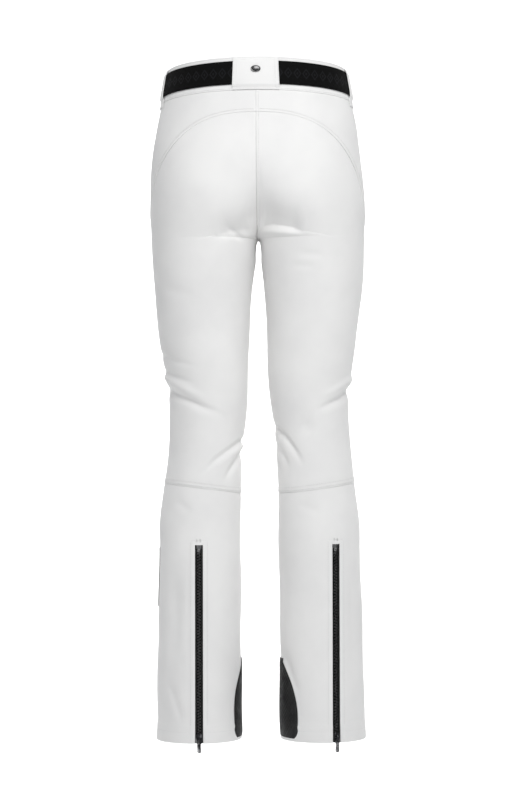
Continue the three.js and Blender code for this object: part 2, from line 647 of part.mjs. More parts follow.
// A loop over the belt: a strip that lies on the cloth at both ends and bridges the belt between
function loop(centre, width, height, over) {
  const depths = [0, 2.5, BELT_DROP - 0.5, BELT_DROP + BELT_WIDTH * 0.33, BELT_DROP + BELT_WIDTH * 0.67,
    BELT_DROP + BELT_WIDTH + 0.5, BAND_HEIGHT - 3.5, BAND_HEIGHT - 0.5];
  if (height > BAND_HEIGHT) depths.push(BAND_HEIGHT + 2, height);
  const lift = (depth) => {
    const onBelt = depth > BELT_DROP - 1 && depth < BELT_DROP + BELT_WIDTH + 1;
    if (onBelt) return over;
    return depth > BAND_HEIGHT ? BAND_OUTER : BAND_OUTER + GAP;
  };
  const columns = width > LOOP_WIDTH * 2 ? 8 : 3;
  return sheet(columns, depths.length - 1, (u, v, face) => {
    const depth = depths[Math.round(v * (depths.length - 1))];
    const share = Math.abs(centre);
    const round = centre + beside(1, TOP - BELT_WIDTH, share, mix(-width, width, u) / 2) - share;
    const top = bandTop(round);
    return waist(round, top - depth, lift(depth) + LOOP_THICKNESS * (1 - face));
  });
}

const BELT_OUTSIDE = BAND_OUTER + GAP + BELT_THICKNESS;

// The belt starts at the buckle's bar, goes round the back, runs over the buckle's plate and on
// over its own start to its free end. In the buckle it lies flat.
function belt() {
  const level = TOP - FRONT_DROP - BELT_DROP - BELT_WIDTH / 2;
  const from = -aroundAtX(1, level, BUCKLE.right + 1, true);
  const to = 2 - aroundAtX(1, level, FREE_END, true);
  const flat = BAND_OUTER + GAP + BUCKLE.plate + 2 * GAP;
  return sheet(64, 1, (u, v, face) => {
    const round = mix(from, to, u);
    const height = bandTop(round > 1 ? 2 - round : round) - BELT_DROP - BELT_WIDTH * (1 - v);
    const second = round > 1 ? BELT_THICKNESS + GAP : 0;
    const point = waist(round, height, BAND_OUTER + GAP + second + BELT_THICKNESS * (1 - face));
    if (round > 0.8) {
      const ramp = 0.3 * Math.max(0, Math.abs(point.x) - BUCKLE.right - 5);
      const plane = at(1, height, 1).y - flat - BELT_THICKNESS * (1 - face) + ramp;
      point.y = Math.min(point.y, plane);
    }
    return point;
  });
}

function buckle() {
  const height = TOP - FRONT_DROP - BELT_DROP - BELT_WIDTH / 2;
  const low = at(1, height, 1).setX(0);
  const high = at(1, height + 10, 1).setX(0);
  const frame = frameOn(low, high, new THREE.Vector3(0, -1, 0));
  const ear = BELT_WIDTH / 2 + 0.6;
  const base = BAND_OUTER + GAP;
  const axis = new THREE.Vector2(-6, base + BUCKLE.plate + BELT_THICKNESS + 2 * GAP + LEVER.nose + LEVER.clear);
  const bore = (radius, w0, w1) => new THREE.CylinderGeometry(radius, radius, w1 - w0, 16)
    .rotateX(Math.PI / 2).translate(axis.x, axis.y, (w0 + w1) / 2);
  const parts = [box(-BUCKLE.left, BUCKLE.right, base, base + BUCKLE.plate, -ear - BUCKLE.ear, ear + BUCKLE.ear)];
  for (const hand of [-1, 1]) {
    const edges = [hand * ear, hand * (ear + BUCKLE.ear)].sort((a, b) => a - b);
    parts.push(box(axis.x - BUCKLE.earWidth / 2, axis.x + BUCKLE.earWidth / 2, base, axis.y + 3, ...edges));
  }
  const end = ear + BUCKLE.ear;
  add('buckle_body', toGeometry(cut(join(...parts), bore(BUCKLE.bore, -end - 1, end + 1))), METAL, frame);
  add('buckle_pin', bore(BUCKLE.pinRadius, -end, end), METAL, frame);
  const wide = ear - 0.3;
  const noseFoot = axis.y - LEVER.nose;
  const lever = join(
    bore(LEVER.barrel, -wide, wide),
    box(axis.x, axis.x + LEVER.reach, axis.y + LEVER.barrel - LEVER.plate, axis.y + LEVER.barrel, -wide, wide),
    box(axis.x - 0.9, axis.x + 0.9, noseFoot, axis.y, -wide, wide),
  );
  add('buckle_lever', toGeometry(cut(lever, bore(BUCKLE.bore, -wide - 1, wide + 1))), METAL, frame);
}

// A plain oval stud on the middle of the belt tunnel
function stud() {
  const height = TOP - STUD.drop;
  const surface = BELT_OUTSIDE + GAP + LOOP_THICKNESS + GAP;
  const low = at(1, height - 5, 0).setX(0);
  const high = at(1, height + 5, 0).setX(0);
  const middle = low.clone().add(high).multiplyScalar(0.5);
  const frame = frameOn(middle, high.clone().sub(low).add(middle), new THREE.Vector3(0, 1, 0));
  const disc = new THREE.CylinderGeometry(0.5, 0.5, STUD.thickness, 32)
    .scale(STUD.width, 1, STUD.height).translate(0, surface + STUD.thickness / 2, 0);
  add('back_stud', disc, RUBBER, frame);
}

// ---- leg ends ----

function kickPatch(side) {
  return sheet(10, 4, (u, v, face) => {
    const reach = mix(-1, 1, u);
    const top = PATCH.top - PATCH.shoulder * Math.abs(reach) ** 1.5;
    return at(side, mix(PATCH.bottom, top, v), PATCH.reach * reach, GAP + PATCH.thickness * (1 - face));
  });
}

// The gaiter hangs inside the leg end, sewn to the shell at its top edge on both sides of the zip
function gaiter(side, zipAround) {
  return sheet(24, 4, (u, v, face) => {
    const height = mix(GAITER.bottom, GAITER.top, v);
    let away = Math.abs(u - zipAround(height));
    away = Math.min(away, 1 - away);
    const flare = ease(height, 0.6 * GAITER.top, GAITER.top) * ease(away, 0.08, 0.14);
    return at(side, height, u, -mix(GAITER.depth, CLOTH + 2 * GAP, flare) - GAITER.thickness * face);
  }, true);
}

function gaiterElastic(side) {
  return sheet(24, 1, (u, v, face) => {
    const height = mix(ELASTIC.bottom, GAITER.bottom - 0.3, v);
    return at(side, height, u, -GAITER.depth + 0.5 - ELASTIC.thickness * face);
  }, true);
}

function shinStrip() {
  return sheet(3, 3, (u, v, face) =>
    at(1, mix(STRIP.bottom, STRIP.top, v), mix(STRIP.from, STRIP.to, u), GAP + 0.6 * (1 - face)));
}

// ---- putting it together ----

const fly = flyLine();
for (const [side, name] of [[1, 'left'], [-1, 'right']]) {
  const zip = legZipLine(side, LEG_ZIP_X[name]);
  const pocket = pocketLine(side);
  shellPanels(side, name, zip, pocket, fly);
  legZip(name, zip);
  pocketZip(name, pocket);
  add(`${name}_pocket_bag`, pocketBag(side), LINING);
  add(`${name}_kick_patch`, kickPatch(side), RUBBER);
  add(`${name}_snow_gaiter`, gaiter(side, zip.around), LINING);
  add(`${name}_gaiter_elastic`, gaiterElastic(side), WEBBING);
  add(`${name}_side_loop`, loop(0.5 * side, LOOP_WIDTH, LOOP_HEIGHT, BELT_OUTSIDE + GAP), SHELL);
}
const doubled = BELT_OUTSIDE + BELT_THICKNESS + 2 * GAP;
add('left_front_loop', loop(FRONT_LOOP_AT, LOOP_WIDTH, LOOP_HEIGHT, BELT_OUTSIDE + GAP), SHELL);
add('right_front_loop', loop(-FRONT_LOOP_AT, LOOP_WIDTH, LOOP_HEIGHT, doubled), SHELL);
flyZip(fly);
add('fly_guard', flyGuard(), LINING);
waistSnap();
add('waistband', waistband(), SHELL);
add('belt_tunnel', loop(0, TUNNEL_WIDTH, TUNNEL_HEIGHT, BELT_OUTSIDE + GAP), SHELL);
add('belt_strap', belt(), WEBBING);
buckle();
stud();
add('left_shin_strip', shinStrip(), RUBBER);

export default pants;
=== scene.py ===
"""Ski pants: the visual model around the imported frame.

The cloth follows the same form as the CAD model, from the same charts of sections. Every length
here is in millimetres, and heights count up from the hem; make() turns them into the frame's
metres. The folds are sculpted in code.
"""
import math

import bmesh
import bpy
import numpy as np
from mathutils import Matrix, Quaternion, Vector


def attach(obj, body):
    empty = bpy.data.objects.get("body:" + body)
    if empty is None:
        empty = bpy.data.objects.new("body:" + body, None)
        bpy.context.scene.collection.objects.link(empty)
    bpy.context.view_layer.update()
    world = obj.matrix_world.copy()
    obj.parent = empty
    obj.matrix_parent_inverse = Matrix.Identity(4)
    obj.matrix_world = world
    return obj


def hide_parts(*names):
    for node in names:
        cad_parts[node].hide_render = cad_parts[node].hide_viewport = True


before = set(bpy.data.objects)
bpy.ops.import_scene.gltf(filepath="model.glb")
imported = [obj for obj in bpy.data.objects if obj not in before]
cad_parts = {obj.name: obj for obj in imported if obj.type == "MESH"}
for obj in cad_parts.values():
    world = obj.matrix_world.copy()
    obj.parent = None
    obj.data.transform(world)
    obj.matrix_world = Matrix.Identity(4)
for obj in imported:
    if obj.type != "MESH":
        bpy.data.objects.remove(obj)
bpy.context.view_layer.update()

# ---- driving dimensions ----
# They are the CAD model's, but for a few that follow the photograph more closely: the belt's width
# and drop, the stud's drop, where the side loops and the shin strip stand, and the patch's outline.
INSEAM = 773.0
RISE = 275.0
FRONT_DROP = 27.0
WAIST_WIDTH = 274.0
WAIST_BACK = 96.0
HIP_WIDTH = 332.0
SEAT_BACK = 124.0
BELLY_FRONT = 101.4
BELLY_LEAN = 0.0288
KNEE_ABOVE_ZIP = 85.0
KNEE_WIDTH = 120.0
KNEE_DEPTH = 124.0
HEM_WIDTH = 131.0
HEM_DEPTH = 146.0
HEM_GAP = 62.0
HEM_BACK = 83.0
LEG_TURN = 0.029
CROTCH_CURVE = 60.0
CLOTH = 1.5
SEAM = 0.4
GAP = 0.4
YOKE_HEIGHT = 189.0
YOKE_SWEEP = 171.0
KNEE_SLOPE = 8.0
BAND_HEIGHT = 52.0
BAND_OUTER = 0.6
BAND_INNER = 2.0
BELT_WIDTH = 36.0
BELT_DROP = 7.0
BELT_THICKNESS = 1.8
LOOP_THICKNESS = 1.0
LOOP_WIDTH = 16.0
LOOP_HEIGHT = 60.0
TUNNEL_WIDTH = 71.0
TUNNEL_HEIGHT = 51.5
SIDE_LOOP_AT = 0.455
LOOP_FLARE = 0.4  # how much wider a side loop becomes towards its foot
FRONT_LOOP_AT = 0.86
FREE_END = 92.0
STUD = {"width": 15.0, "height": 10.0, "thickness": 1.5, "drop": 20.5}
BUCKLE_RIGHT = 18.0
BUCKLE_PLATE = 1.2
LEG_ZIP = {
    "length": 303.0, "opening": 12.3, "tape_edge": 4.2, "tape_width": 9.5, "outer": 3.7,
    "spine": 2.2, "pitch": 4.7, "chain": 2.6, "slider": 15.0,
}
COIL_ZIP = {
    "opening": 9.0, "tape_edge": 3.0, "tape_width": 8.0, "outer": 2.5,
    "chain": 2.2, "slider": 11.0,
}
TAPE = 0.7
CHAIN_DEPTH = 2.15
FLY_LENGTH = 120.0
POCKET_LENGTH = 118.0
POCKET_TOP = {"height": 197.0, "x": 94.0}
POCKET_SLANT = 28.0
LEG_ZIP_X = {1: 94.0, -1: 116.0}
BAG_DEPTH = 10.0
GUARD_DEPTH = 6.2
GUARD_EDGE = 16.0
PATCH = {
    "reach": 0.12, "top": 125.0, "wide": 38.0, "bottom": 4.0, "corner": 12.0, "thickness": 1.0,
}
PATCH_TIP = 0.2  # share of its width that the patch keeps at its top
PATCH_HALF = 48.0  # half of the patch's greatest width
# The studio sweep, in metres: floor height, front edge, start, depth and height of the rise
SWEEP = {"floor": -1.34, "front": 7.0, "start": -1.2, "depth": 6.6, "height": 4.5, "half": 8.0}
GAITER = {"depth": 9.0, "thickness": 0.9, "bottom": 20.0, "top": 200.0}
ELASTIC = {"bottom": 6.0, "thickness": 2.2, "ribs": 92}
STRIP = {"from": 0.507, "to": 0.576, "bottom": 205.0, "top": 297.0}

TOP = INSEAM + RISE
KNEE = LEG_ZIP["length"] + KNEE_ABOVE_ZIP
FLY_TOP = TOP - FRONT_DROP - BAND_HEIGHT
SIDES = {1: "left", -1: "right"}

# ---- sewing ----
FINE = np.array([0, 0.35, 0.8, 1.4, 2.1, 2.8, 3.5, 4.3, 5.2, 6.1, 7.0, 8.0, 9.4, 11.4])
CLOTH_STEP = 3.2
SEWN_GAP = 0.06  # half of what stays open where two pieces are sewn together
STITCH = {"pitch": 3.3, "length": 2.6, "radius": 0.3}
HEM_STITCHES = (17.0, 25.0)
ZIP_STITCH = 6.8


def mix(a, b, t):
    return a + (b - a) * t


def ease(value, low, high):
    t = np.clip((value - low) / (high - low), 0, 1)
    return t * t * (3 - 2 * t)


# ---- the body's form ----

def leg_row(height, gap, width, back, depth):
    return [height, (gap + width) / 2, gap / 2 + width, back, back - depth]


def pelvis_row(share, middle, outer, back):
    return [INSEAM + share * RISE, middle, outer, back, BELLY_LEAN * share * RISE - BELLY_FRONT]


def thigh(share):
    return mix(KNEE, INSEAM, share)


HEM = np.array(leg_row(0, HEM_GAP, HEM_WIDTH, HEM_BACK, HEM_DEPTH))
CALF = np.array(leg_row(LEG_ZIP["length"], HEM_GAP - 3, HEM_WIDTH - 5, HEM_BACK - 8.3,
                        HEM_DEPTH - 18))
CROTCH = [HIP_WIDTH / 4, HIP_WIDTH / 2, SEAT_BACK - 22, -98.0]
LEG = np.array([
    HEM, mix(HEM, CALF, 0.5), CALF, mix(HEM, CALF, 1.1),
    leg_row(KNEE, 57, KNEE_WIDTH, 67, KNEE_DEPTH),
    leg_row(thigh(0.19), 50, KNEE_WIDTH - 4.5, 61, KNEE_DEPTH + 2),
    leg_row(thigh(0.37), 35, KNEE_WIDTH + 3.5, 66, KNEE_DEPTH + 16),
    leg_row(thigh(0.6), 27, HIP_WIDTH / 2 - 26.5, 77, SEAT_BACK + 37),
    leg_row(thigh(0.81), 17, HIP_WIDTH / 2 - 13, 89, SEAT_BACK + 57),
    [INSEAM, *CROTCH],
])
PELVIS = np.array([
    [INSEAM, *CROTCH],
    pelvis_row(0.156, 0.373 * HIP_WIDTH / 2, HIP_WIDTH / 2 + 1, SEAT_BACK - 6),
    pelvis_row(0.28, 0.283 * HIP_WIDTH / 2, HIP_WIDTH / 2, SEAT_BACK),
    pelvis_row(0.462, 0.163 * HIP_WIDTH / 2, HIP_WIDTH / 2 - 4.5, SEAT_BACK - 2),
    pelvis_row(0.629, 0.066 * HIP_WIDTH / 2, HIP_WIDTH / 2 - 11, SEAT_BACK - 10.5),
    pelvis_row(0.76, 0.012 * HIP_WIDTH / 2, mix(WAIST_WIDTH, HIP_WIDTH, 0.38) / 2,
               WAIST_BACK + 9),
    pelvis_row(0.905, 0, WAIST_WIDTH / 2 + 3.5, WAIST_BACK + 3),
    pelvis_row(1, 0, WAIST_WIDTH / 2, WAIST_BACK),
])


def slopes(chart):
    last = len(chart) - 1
    before = chart[[max(i - 1, 0) for i in range(last + 1)]]
    after = chart[[min(i + 1, last) for i in range(last + 1)]]
    return (after - before) / (after - before)[:, :1]


def smooth_chart(chart, height):
    """The chart's row at each height, by cubic curves through its rows."""
    steep = slopes(chart)
    row = np.clip(np.searchsorted(chart[:, 0], height, side="right") - 1, 0, len(chart) - 2)
    low, high = chart[row], chart[row + 1]
    span = (high - low)[..., :1]
    t = np.clip((height[..., None] - low[..., :1]) / span, 0, 1)
    rise, fall, jump = span * steep[row], span * steep[row + 1], high - low
    return low + t * (rise + t * (3 * jump - 2 * rise - fall + t * (rise + fall - 2 * jump)))


def section(height):
    in_leg = (height < INSEAM)[..., None]
    return np.where(in_leg, smooth_chart(LEG, height), smooth_chart(PELVIS, height))


def arch(t):
    return np.sqrt(1 - (1 - np.clip(t, 0, 1)) ** 2)


def left_point(height, around, turn):
    """The cloth's outer face on the left half, from the inside of the back (0) to the front (1)."""
    height, around, turn = np.broadcast_arrays(np.asarray(height, float), around, turn)
    _, middle, outer, back, front = np.moveaxis(section(height), -1, 0)
    rx, ry = outer - middle, (back - front) / 2
    cut = np.where(height < INSEAM, 1.0, np.clip(middle / rx, 0, 1))
    angle = (np.pi - np.arccos(cut)) * (1 - 2 * (around - turn))
    x = middle + rx * np.cos(angle)
    y = (back + front) / 2 + ry * np.sin(angle)
    full = arch((height - INSEAM) / CROTCH_CURVE)
    fill = ry * np.maximum(0, full - np.sqrt(1 - cut ** 2)) * np.exp(-np.maximum(0, x) / 35)
    y = y - np.where((height > INSEAM) & (angle < 0), fill, 0)
    return np.stack([x, y, height], -1)


def turn_at(side, height):
    return side * LEG_TURN * (1 - ease(height, KNEE, INSEAM - 40))


def outward(height, around, turn):
    height, around = np.broadcast_arrays(np.asarray(height, float), around)
    low, high = np.maximum(height - 3, 0), np.minimum(height + 3, TOP)
    inside = np.where(high > INSEAM, np.clip(around, 0, 1), around)
    up = left_point(high, inside, turn) - left_point(low, around, turn)
    split = height >= INSEAM
    start = np.where(split, np.maximum(around - 0.004, 0), around - 0.004)
    end = np.where(split, np.minimum(around + 0.004, 1), around + 0.004)
    along = left_point(height, end, turn) - left_point(height, start, turn)
    normal = np.cross(up, along)
    normal[..., 2] *= np.exp(-((height - INSEAM) / 60) ** 2)
    centre = 1 - ease(np.minimum(np.abs(around), np.abs(1 - around)), 0, 0.02)
    normal[..., 0] *= 1 - centre * ease(height, INSEAM, INSEAM + 12)
    return normal / np.linalg.norm(normal, axis=-1, keepdims=True)


def at(side, height, around, offset=0.0):
    """A point at an offset from the cloth's plain outer face; side is 1 or -1."""
    turn = turn_at(side, height)
    point = left_point(height, around, turn)
    point = point + outward(height, around, turn) * np.asarray(offset, float)[..., None]
    point[..., 0] = side * np.maximum(point[..., 0], SEWN_GAP)
    return point


def girth_step(side, height, around):
    """Millimetres round the body per full share of the way around."""
    turn = turn_at(side, height)
    ahead = left_point(height, around + 0.002, turn)
    behind = left_point(height, around - 0.002, turn)
    return np.linalg.norm(ahead - behind, axis=-1) / 0.004


def beside(side, height, around, distance):
    return around + distance / girth_step(side, height, around)


def around_at_x(side, height, x, front=False):
    height = np.asarray(height, float)
    turn = turn_at(side, height)
    low = 1 + np.minimum(turn, 0) if front else np.maximum(turn, 0)
    high = 0.5 + turn
    low, high, x = np.broadcast_arrays(low, high, x)
    for _ in range(40):
        middle = (low + high) / 2
        inner = left_point(height, middle, turn)[..., 0] < x
        low, high = np.where(inner, middle, low), np.where(inner, high, middle)
    return (low + high) / 2


def waist(round_share, height, offset):
    """Round the whole waist: 0 centre back, 1 centre front, negative on the right, past 1 on."""
    value = np.where(round_share > 1, round_share - 2, round_share)
    side = np.where(value < 0, -1, 1)
    return at(side, height, np.abs(value), offset)


def band_top(around):
    share = (1 - np.cos(np.pi * np.minimum(np.abs(around), 1))) / 2
    return TOP - FRONT_DROP * share


def band_seam(around):
    return band_top(around) - BAND_HEIGHT


def yoke_seam(around):
    return INSEAM + YOKE_HEIGHT - YOKE_SWEEP * (2 * np.abs(around)) ** 2.5


def knee_seam(around):
    return KNEE - KNEE_SLOPE * np.cos(2 * np.pi * around)


def level(height):
    return lambda around: height + 0 * around


def share(value):
    return lambda height: value + 0 * height


# ---- the lines of the zips ----

class ZipLine:
    """A zip's straight line on one half: u across, v outward, w along it from its slider's end."""

    def __init__(self, side, start, end, front):
        self.side, self.start, self.end, self.front = side, start, end, front
        middle = (start[0] + end[0]) / 2
        foot = at(side, middle, self.around(middle))
        normal = at(side, middle, self.around(middle), 1.0) - foot
        self.origin = at(side, start[0], self.around(start[0]))
        self.place(at(side, end[0], self.around(end[0])), normal)

    def place(self, tip, normal):
        self.w = (tip - self.origin) / np.linalg.norm(tip - self.origin)
        v = normal - self.w * normal.dot(self.w)
        self.v = v / np.linalg.norm(v)
        self.u = np.cross(self.v, self.w)

    def around(self, height):
        low, high = sorted((self.start[0], self.end[0]))
        clipped = np.clip(height, low, high)
        x = np.interp(clipped, [low, high], [p[1] for p in sorted((self.start, self.end))])
        return around_at_x(self.side, clipped, x, self.front)

    def world(self, u, v, w):
        u, v, w = (np.asarray(value, float)[..., None] for value in (u, v, w))
        return self.origin + u * self.u + v * self.v + w * self.w


class FlyLine(ZipLine):
    """The fly runs down the centre front, where both halves meet."""

    def __init__(self):
        self.side, self.front = 1, True
        self.start, self.end = (FLY_TOP - 4, 0), (FLY_TOP - FLY_LENGTH, 0)
        ends = [at(1, height, 1.0) * [0, 1, 1] for height in (self.start[0], self.end[0])]
        self.origin = ends[0]
        self.place(ends[1], np.array([0, -1.0, 0]))


def leg_zip_line(side):
    x = LEG_ZIP_X[side]
    return ZipLine(side, (0, x), (LEG_ZIP["length"], x - side * 1.5), False)


def pocket_line(side):
    top = INSEAM + POCKET_TOP["height"]
    x = POCKET_TOP["x"]
    return ZipLine(side, (top, x), (top - POCKET_LENGTH, x + POCKET_SLANT), True)


LEG_LINES = {side: leg_zip_line(side) for side in SIDES}
POCKET_LINES = {side: pocket_line(side) for side in SIDES}
FLY_LINE = FlyLine()

# ---- folds ----
# Seen from behind: the line as (x, height) points, the valley's depth (negative for a ridge),
# and how far it spreads above and below its line.
FOLDS = [
    # under the seat
    ([(-0.1, 787), (-20, 787), (-42, 785), (-70, 780)], 9.0, 30, 3.6),
    ([(0.1, 786), (24, 784), (60, 776)], 5.0, 24, 7),
    ([(44, 787), (22, 769)], 2.2, 5, 4),
    # left knee, outer side
    ([(176, 560), (128, 534), (86, 515), (58, 505)], 4.4, 4, 7),
    ([(170, 574), (122, 546), (82, 526)], -3.0, 6, 5),
    ([(172, 584), (128, 560), (100, 552)], 1.9, 3.6, 3.8),
    ([(172, 606), (126, 584), (96, 578)], 1.4, 4, 4),
    # left knee, inner side
    ([(2, 480), (24, 462), (66, 432), (88, 412)], 4.2, 4.2, 4.6),
    ([(2, 462), (23, 446), (43, 417), (52, 402)], 4.0, 3.8, 4.2),
    ([(4, 470), (44, 440), (70, 418)], -1.2, 5, 5),
    # right knee, outer side
    ([(-176, 574), (-140, 552), (-100, 528)], -3.0, 5, 5),
    ([(-176, 562), (-150, 545), (-125, 525), (-92, 510)], 4.8, 3.8, 7),
    # right knee, inner side
    ([(-4, 500), (-38, 470), (-56, 444), (-66, 428)], 4.6, 3.8, 4.6),
    ([(-20, 462), (-36, 440), (-44, 420)], 2.6, 4, 4.5),
    ([(-66, 490), (-84, 474)], 2.4, 12, 12),
    # lower legs
    ([(142, 92), (130, 60), (118, 28)], 2.4, 8, 5),
    ([(-33, 140), (-46, 104), (-58, 72)], 2.6, 7, 5),
    ([(-138, 250), (-142, 160), (-134, 70)], 2.4, 9, 9),
    ([(132, 262), (130, 180), (136, 110)], 2.2, 9, 9),
    ([(128, 372), (104, 352)], 1.6, 6, 6),
    ([(-60, 366), (-92, 352)], 1.4, 7, 6),
    # thighs
    ([(-60, 748), (-104, 744)], 1.2, 6, 5),
    ([(-52, 730), (-88, 727)], 1.0, 5, 5),
    ([(150, 700), (120, 690), (96, 688)], 1.2, 8, 8),
    ([(60, 640), (88, 618)], 1.0, 10, 10),
    ([(-148, 690), (-126, 670)], 1.2, 9, 8),
]
# The same on the front, where only soft creases at hip and knee are guessed
FRONT_FOLDS = [
    ([(4, 800), (40, 812), (84, 826)], 2.0, 9, 7),
    ([(-4, 796), (-44, 810), (-80, 832)], 2.2, 9, 7),
    ([(6, 782), (38, 786), (70, 798)], -1.6, 8, 8),
    ([(-6, 780), (-40, 788), (-74, 800)], -1.6, 8, 8),
    ([(128, 470), (98, 462), (64, 466)], 1.8, 9, 8),
    ([(-126, 462), (-94, 456), (-62, 462)], 1.8, 9, 8),
    ([(40, 420), (70, 414), (96, 420)], 1.4, 8, 8),
    ([(-44, 424), (-74, 416), (-98, 420)], 1.4, 8, 8),
    ([(132, 130), (110, 100), (84, 84)], 1.6, 9, 7),
    ([(-40, 150), (-66, 116), (-92, 98)], 1.6, 9, 7),
]
# The valley along the centre back: its heights, depth, and half widths on the wearer's sides
CLEFT = {"top": 885.0, "deepest": 802.0, "foot": 774.0, "depth": 7.5, "left": 18.0, "right": 34.0}
CROTCH_DRAW = {"depth": 2.2, "spread": 0.05}


def polyline_field(x, height, points):
    """Signed distance (positive above) to a line of points, and the share of the way along it."""
    best = np.full(np.shape(x), 1e9)
    signed, where = np.zeros(np.shape(x)), np.zeros(np.shape(x))
    lengths = [math.dist(p, q) for p, q in zip(points, points[1:])]
    done = 0.0
    for (x0, h0), (x1, h1), length in zip(points, points[1:], lengths):
        tx, th = (x1 - x0) / length, (h1 - h0) / length
        along = (x - x0) * tx + (height - h0) * th
        inside = np.clip(along, 0, length)
        gap = np.hypot(x - x0 - inside * tx, height - h0 - inside * th)
        above = ((height - h0) * tx - (x - x0) * th) * np.sign(tx)
        nearer = gap < best
        best = np.where(nearer, gap, best)
        signed = np.where(nearer, np.sign(above) * gap, signed)
        where = np.where(nearer, (done + inside) / sum(lengths), where)
        done += length
    return signed, where


def crease(x, height, points, depth, above, below):
    signed, where = polyline_field(x, height, points)
    spread = np.where(signed > 0, above, below)
    ends = ease(where, -0.12, 0.3) * (1 - ease(where, 0.7, 1.12))
    return -depth * np.exp(-(signed / spread) ** 2) * ends


def zip_distance(line, side, height, around):
    """How far round the body a point lies from a zip, large above and below it."""
    low, high = sorted((line.start[0], line.end[0]))
    gap = np.abs(around - line.around(height)) * girth_step(side, height, around)
    return np.hypot(gap, np.maximum(0, np.maximum(low - height, height - high - 10)))


def half_folds(side, height, around):
    """How far the folds lift the cloth of one half off its plain form."""
    height, around = np.broadcast_arrays(np.asarray(height, float), around)
    plain = at(side, height, around)
    on_back = np.where(around <= 0.5, 1.0, 1 - ease(around, 0.5, 0.57) + ease(around, 0.93, 1.0))
    total = np.zeros(height.shape)
    for folds, gate in ((FOLDS, on_back), (FRONT_FOLDS, 1 - on_back)):
        for points, depth, above, below in folds:
            if points[0][0] * side > 0:
                total += gate * crease(plain[..., 0], height, points, depth, above, below)
    turn = 2 * np.pi * around
    total += 0.7 * np.sin(height / 43 + 1.7 * np.cos(turn) + side)
    total += 0.5 * np.sin(height / 21 - 2.3 * np.sin(turn) + 2 * side + 1.4 * np.cos(2 * turn))
    total += 0.35 * np.sin(3 * turn + height / 60 + side)
    near = np.minimum(zip_distance(LEG_LINES[side], side, height, around),
                      zip_distance(POCKET_LINES[side], side, height, around))
    fly = np.hypot((1 - around) * girth_step(side, height, around), np.maximum(0, 845 - height))
    calm = ease(np.minimum(near, fly), 14, 34) * ease(band_seam(around) - height, 12, 45)
    inseam = np.minimum(np.abs(around), np.abs(1 - around))
    quiet_centre = np.where(height > INSEAM, ease(inseam, 0.0, 0.025), 1.0)
    calm = calm * ease(height, -4, 30) * quiet_centre
    return total * calm + cleft(side, height, around) + crotch_opening(height, inseam)


def cleft(side, height, around):
    """The seat's valley along the centre back, wider on the wearer's right."""
    reach = np.abs(around) * girth_step(side, height, around) / CLEFT[SIDES[side]]
    foot, deepest, top = CLEFT["foot"], CLEFT["deepest"], CLEFT["top"]
    up = ease(height, foot, deepest) * (1 - ease(height, deepest, top))
    return -CLEFT["depth"] * np.exp(-reach ** 2) * up


def crotch_opening(height, inseam):
    """Just below the crotch, the cloth is drawn in a little on both sides of the inseam."""
    window = ease(height, 735, 758) * (1 - ease(height, 766, INSEAM))
    return -CROTCH_DRAW["depth"] * window * np.exp(-(inseam / CROTCH_DRAW["spread"]) ** 2)


def folds(side, height, around):
    side = np.broadcast_to(side, np.broadcast(height, around).shape)
    wrapped = np.where(around < 0, around + 1, around)
    left, right = half_folds(1, height, wrapped), half_folds(-1, height, wrapped)
    return np.where(side > 0, left, right)


def cloth(side, height, around, offset=0.0):
    """A point at an offset from the folded cloth's outer face."""
    return at(side, height, around, half_folds(side, height, np.mod(around, 1.0001)) + offset)


# ---- meshes ----

class Shape:
    """Points and faces that are gathered for one object."""

    def __init__(self):
        self.points, self.uvs, self.faces, self.count = [], [], [], 0

    def add(self, points, faces, uv=None):
        points = np.asarray(points, float).reshape(-1, 3)
        uv = np.zeros((len(points), 2)) if uv is None else np.asarray(uv, float).reshape(-1, 2)
        self.points.append(points)
        self.uvs.append(uv)
        self.faces.extend(np.asarray(f) + self.count for f in faces if len(f))
        self.count += len(points)

    def make(self, name, material, body="root", replaces=(), slot=None, crisp=38):
        points, uv = np.concatenate(self.points), np.concatenate(self.uvs)
        used = np.unique(np.concatenate([f.ravel() for f in self.faces]))
        lookup = np.zeros(self.count, int)
        lookup[used] = np.arange(len(used))
        points, uv = points[used], uv[used]
        mesh = bpy.data.meshes.new(name)
        placed = (points - [0, 0, TOP]) * 0.001
        faces = [face for f in self.faces for face in lookup[f].tolist()]
        mesh.from_pydata(placed.tolist(), [], faces)
        layer = mesh.uv_layers.new(name="cloth")
        corners = np.array([i for face in faces for i in face])
        layer.data.foreach_set("uv", (uv[corners] * 0.001).ravel())
        mesh.polygons.foreach_set("use_smooth", np.ones(len(faces), bool))
        mesh.validate()
        mesh.set_sharp_from_angle(angle=math.radians(crisp))
        piece = linked(name, mesh)
        piece.data.materials.append(material)
        return finish_piece(piece, body, replaces)


def linked(name, data):
    thing = bpy.data.objects.new(name, data)
    bpy.context.scene.collection.objects.link(thing)
    return thing


def finish_piece(piece, body, replaces):
    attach(piece, body)
    if replaces:
        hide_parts(*replaces)
    return piece


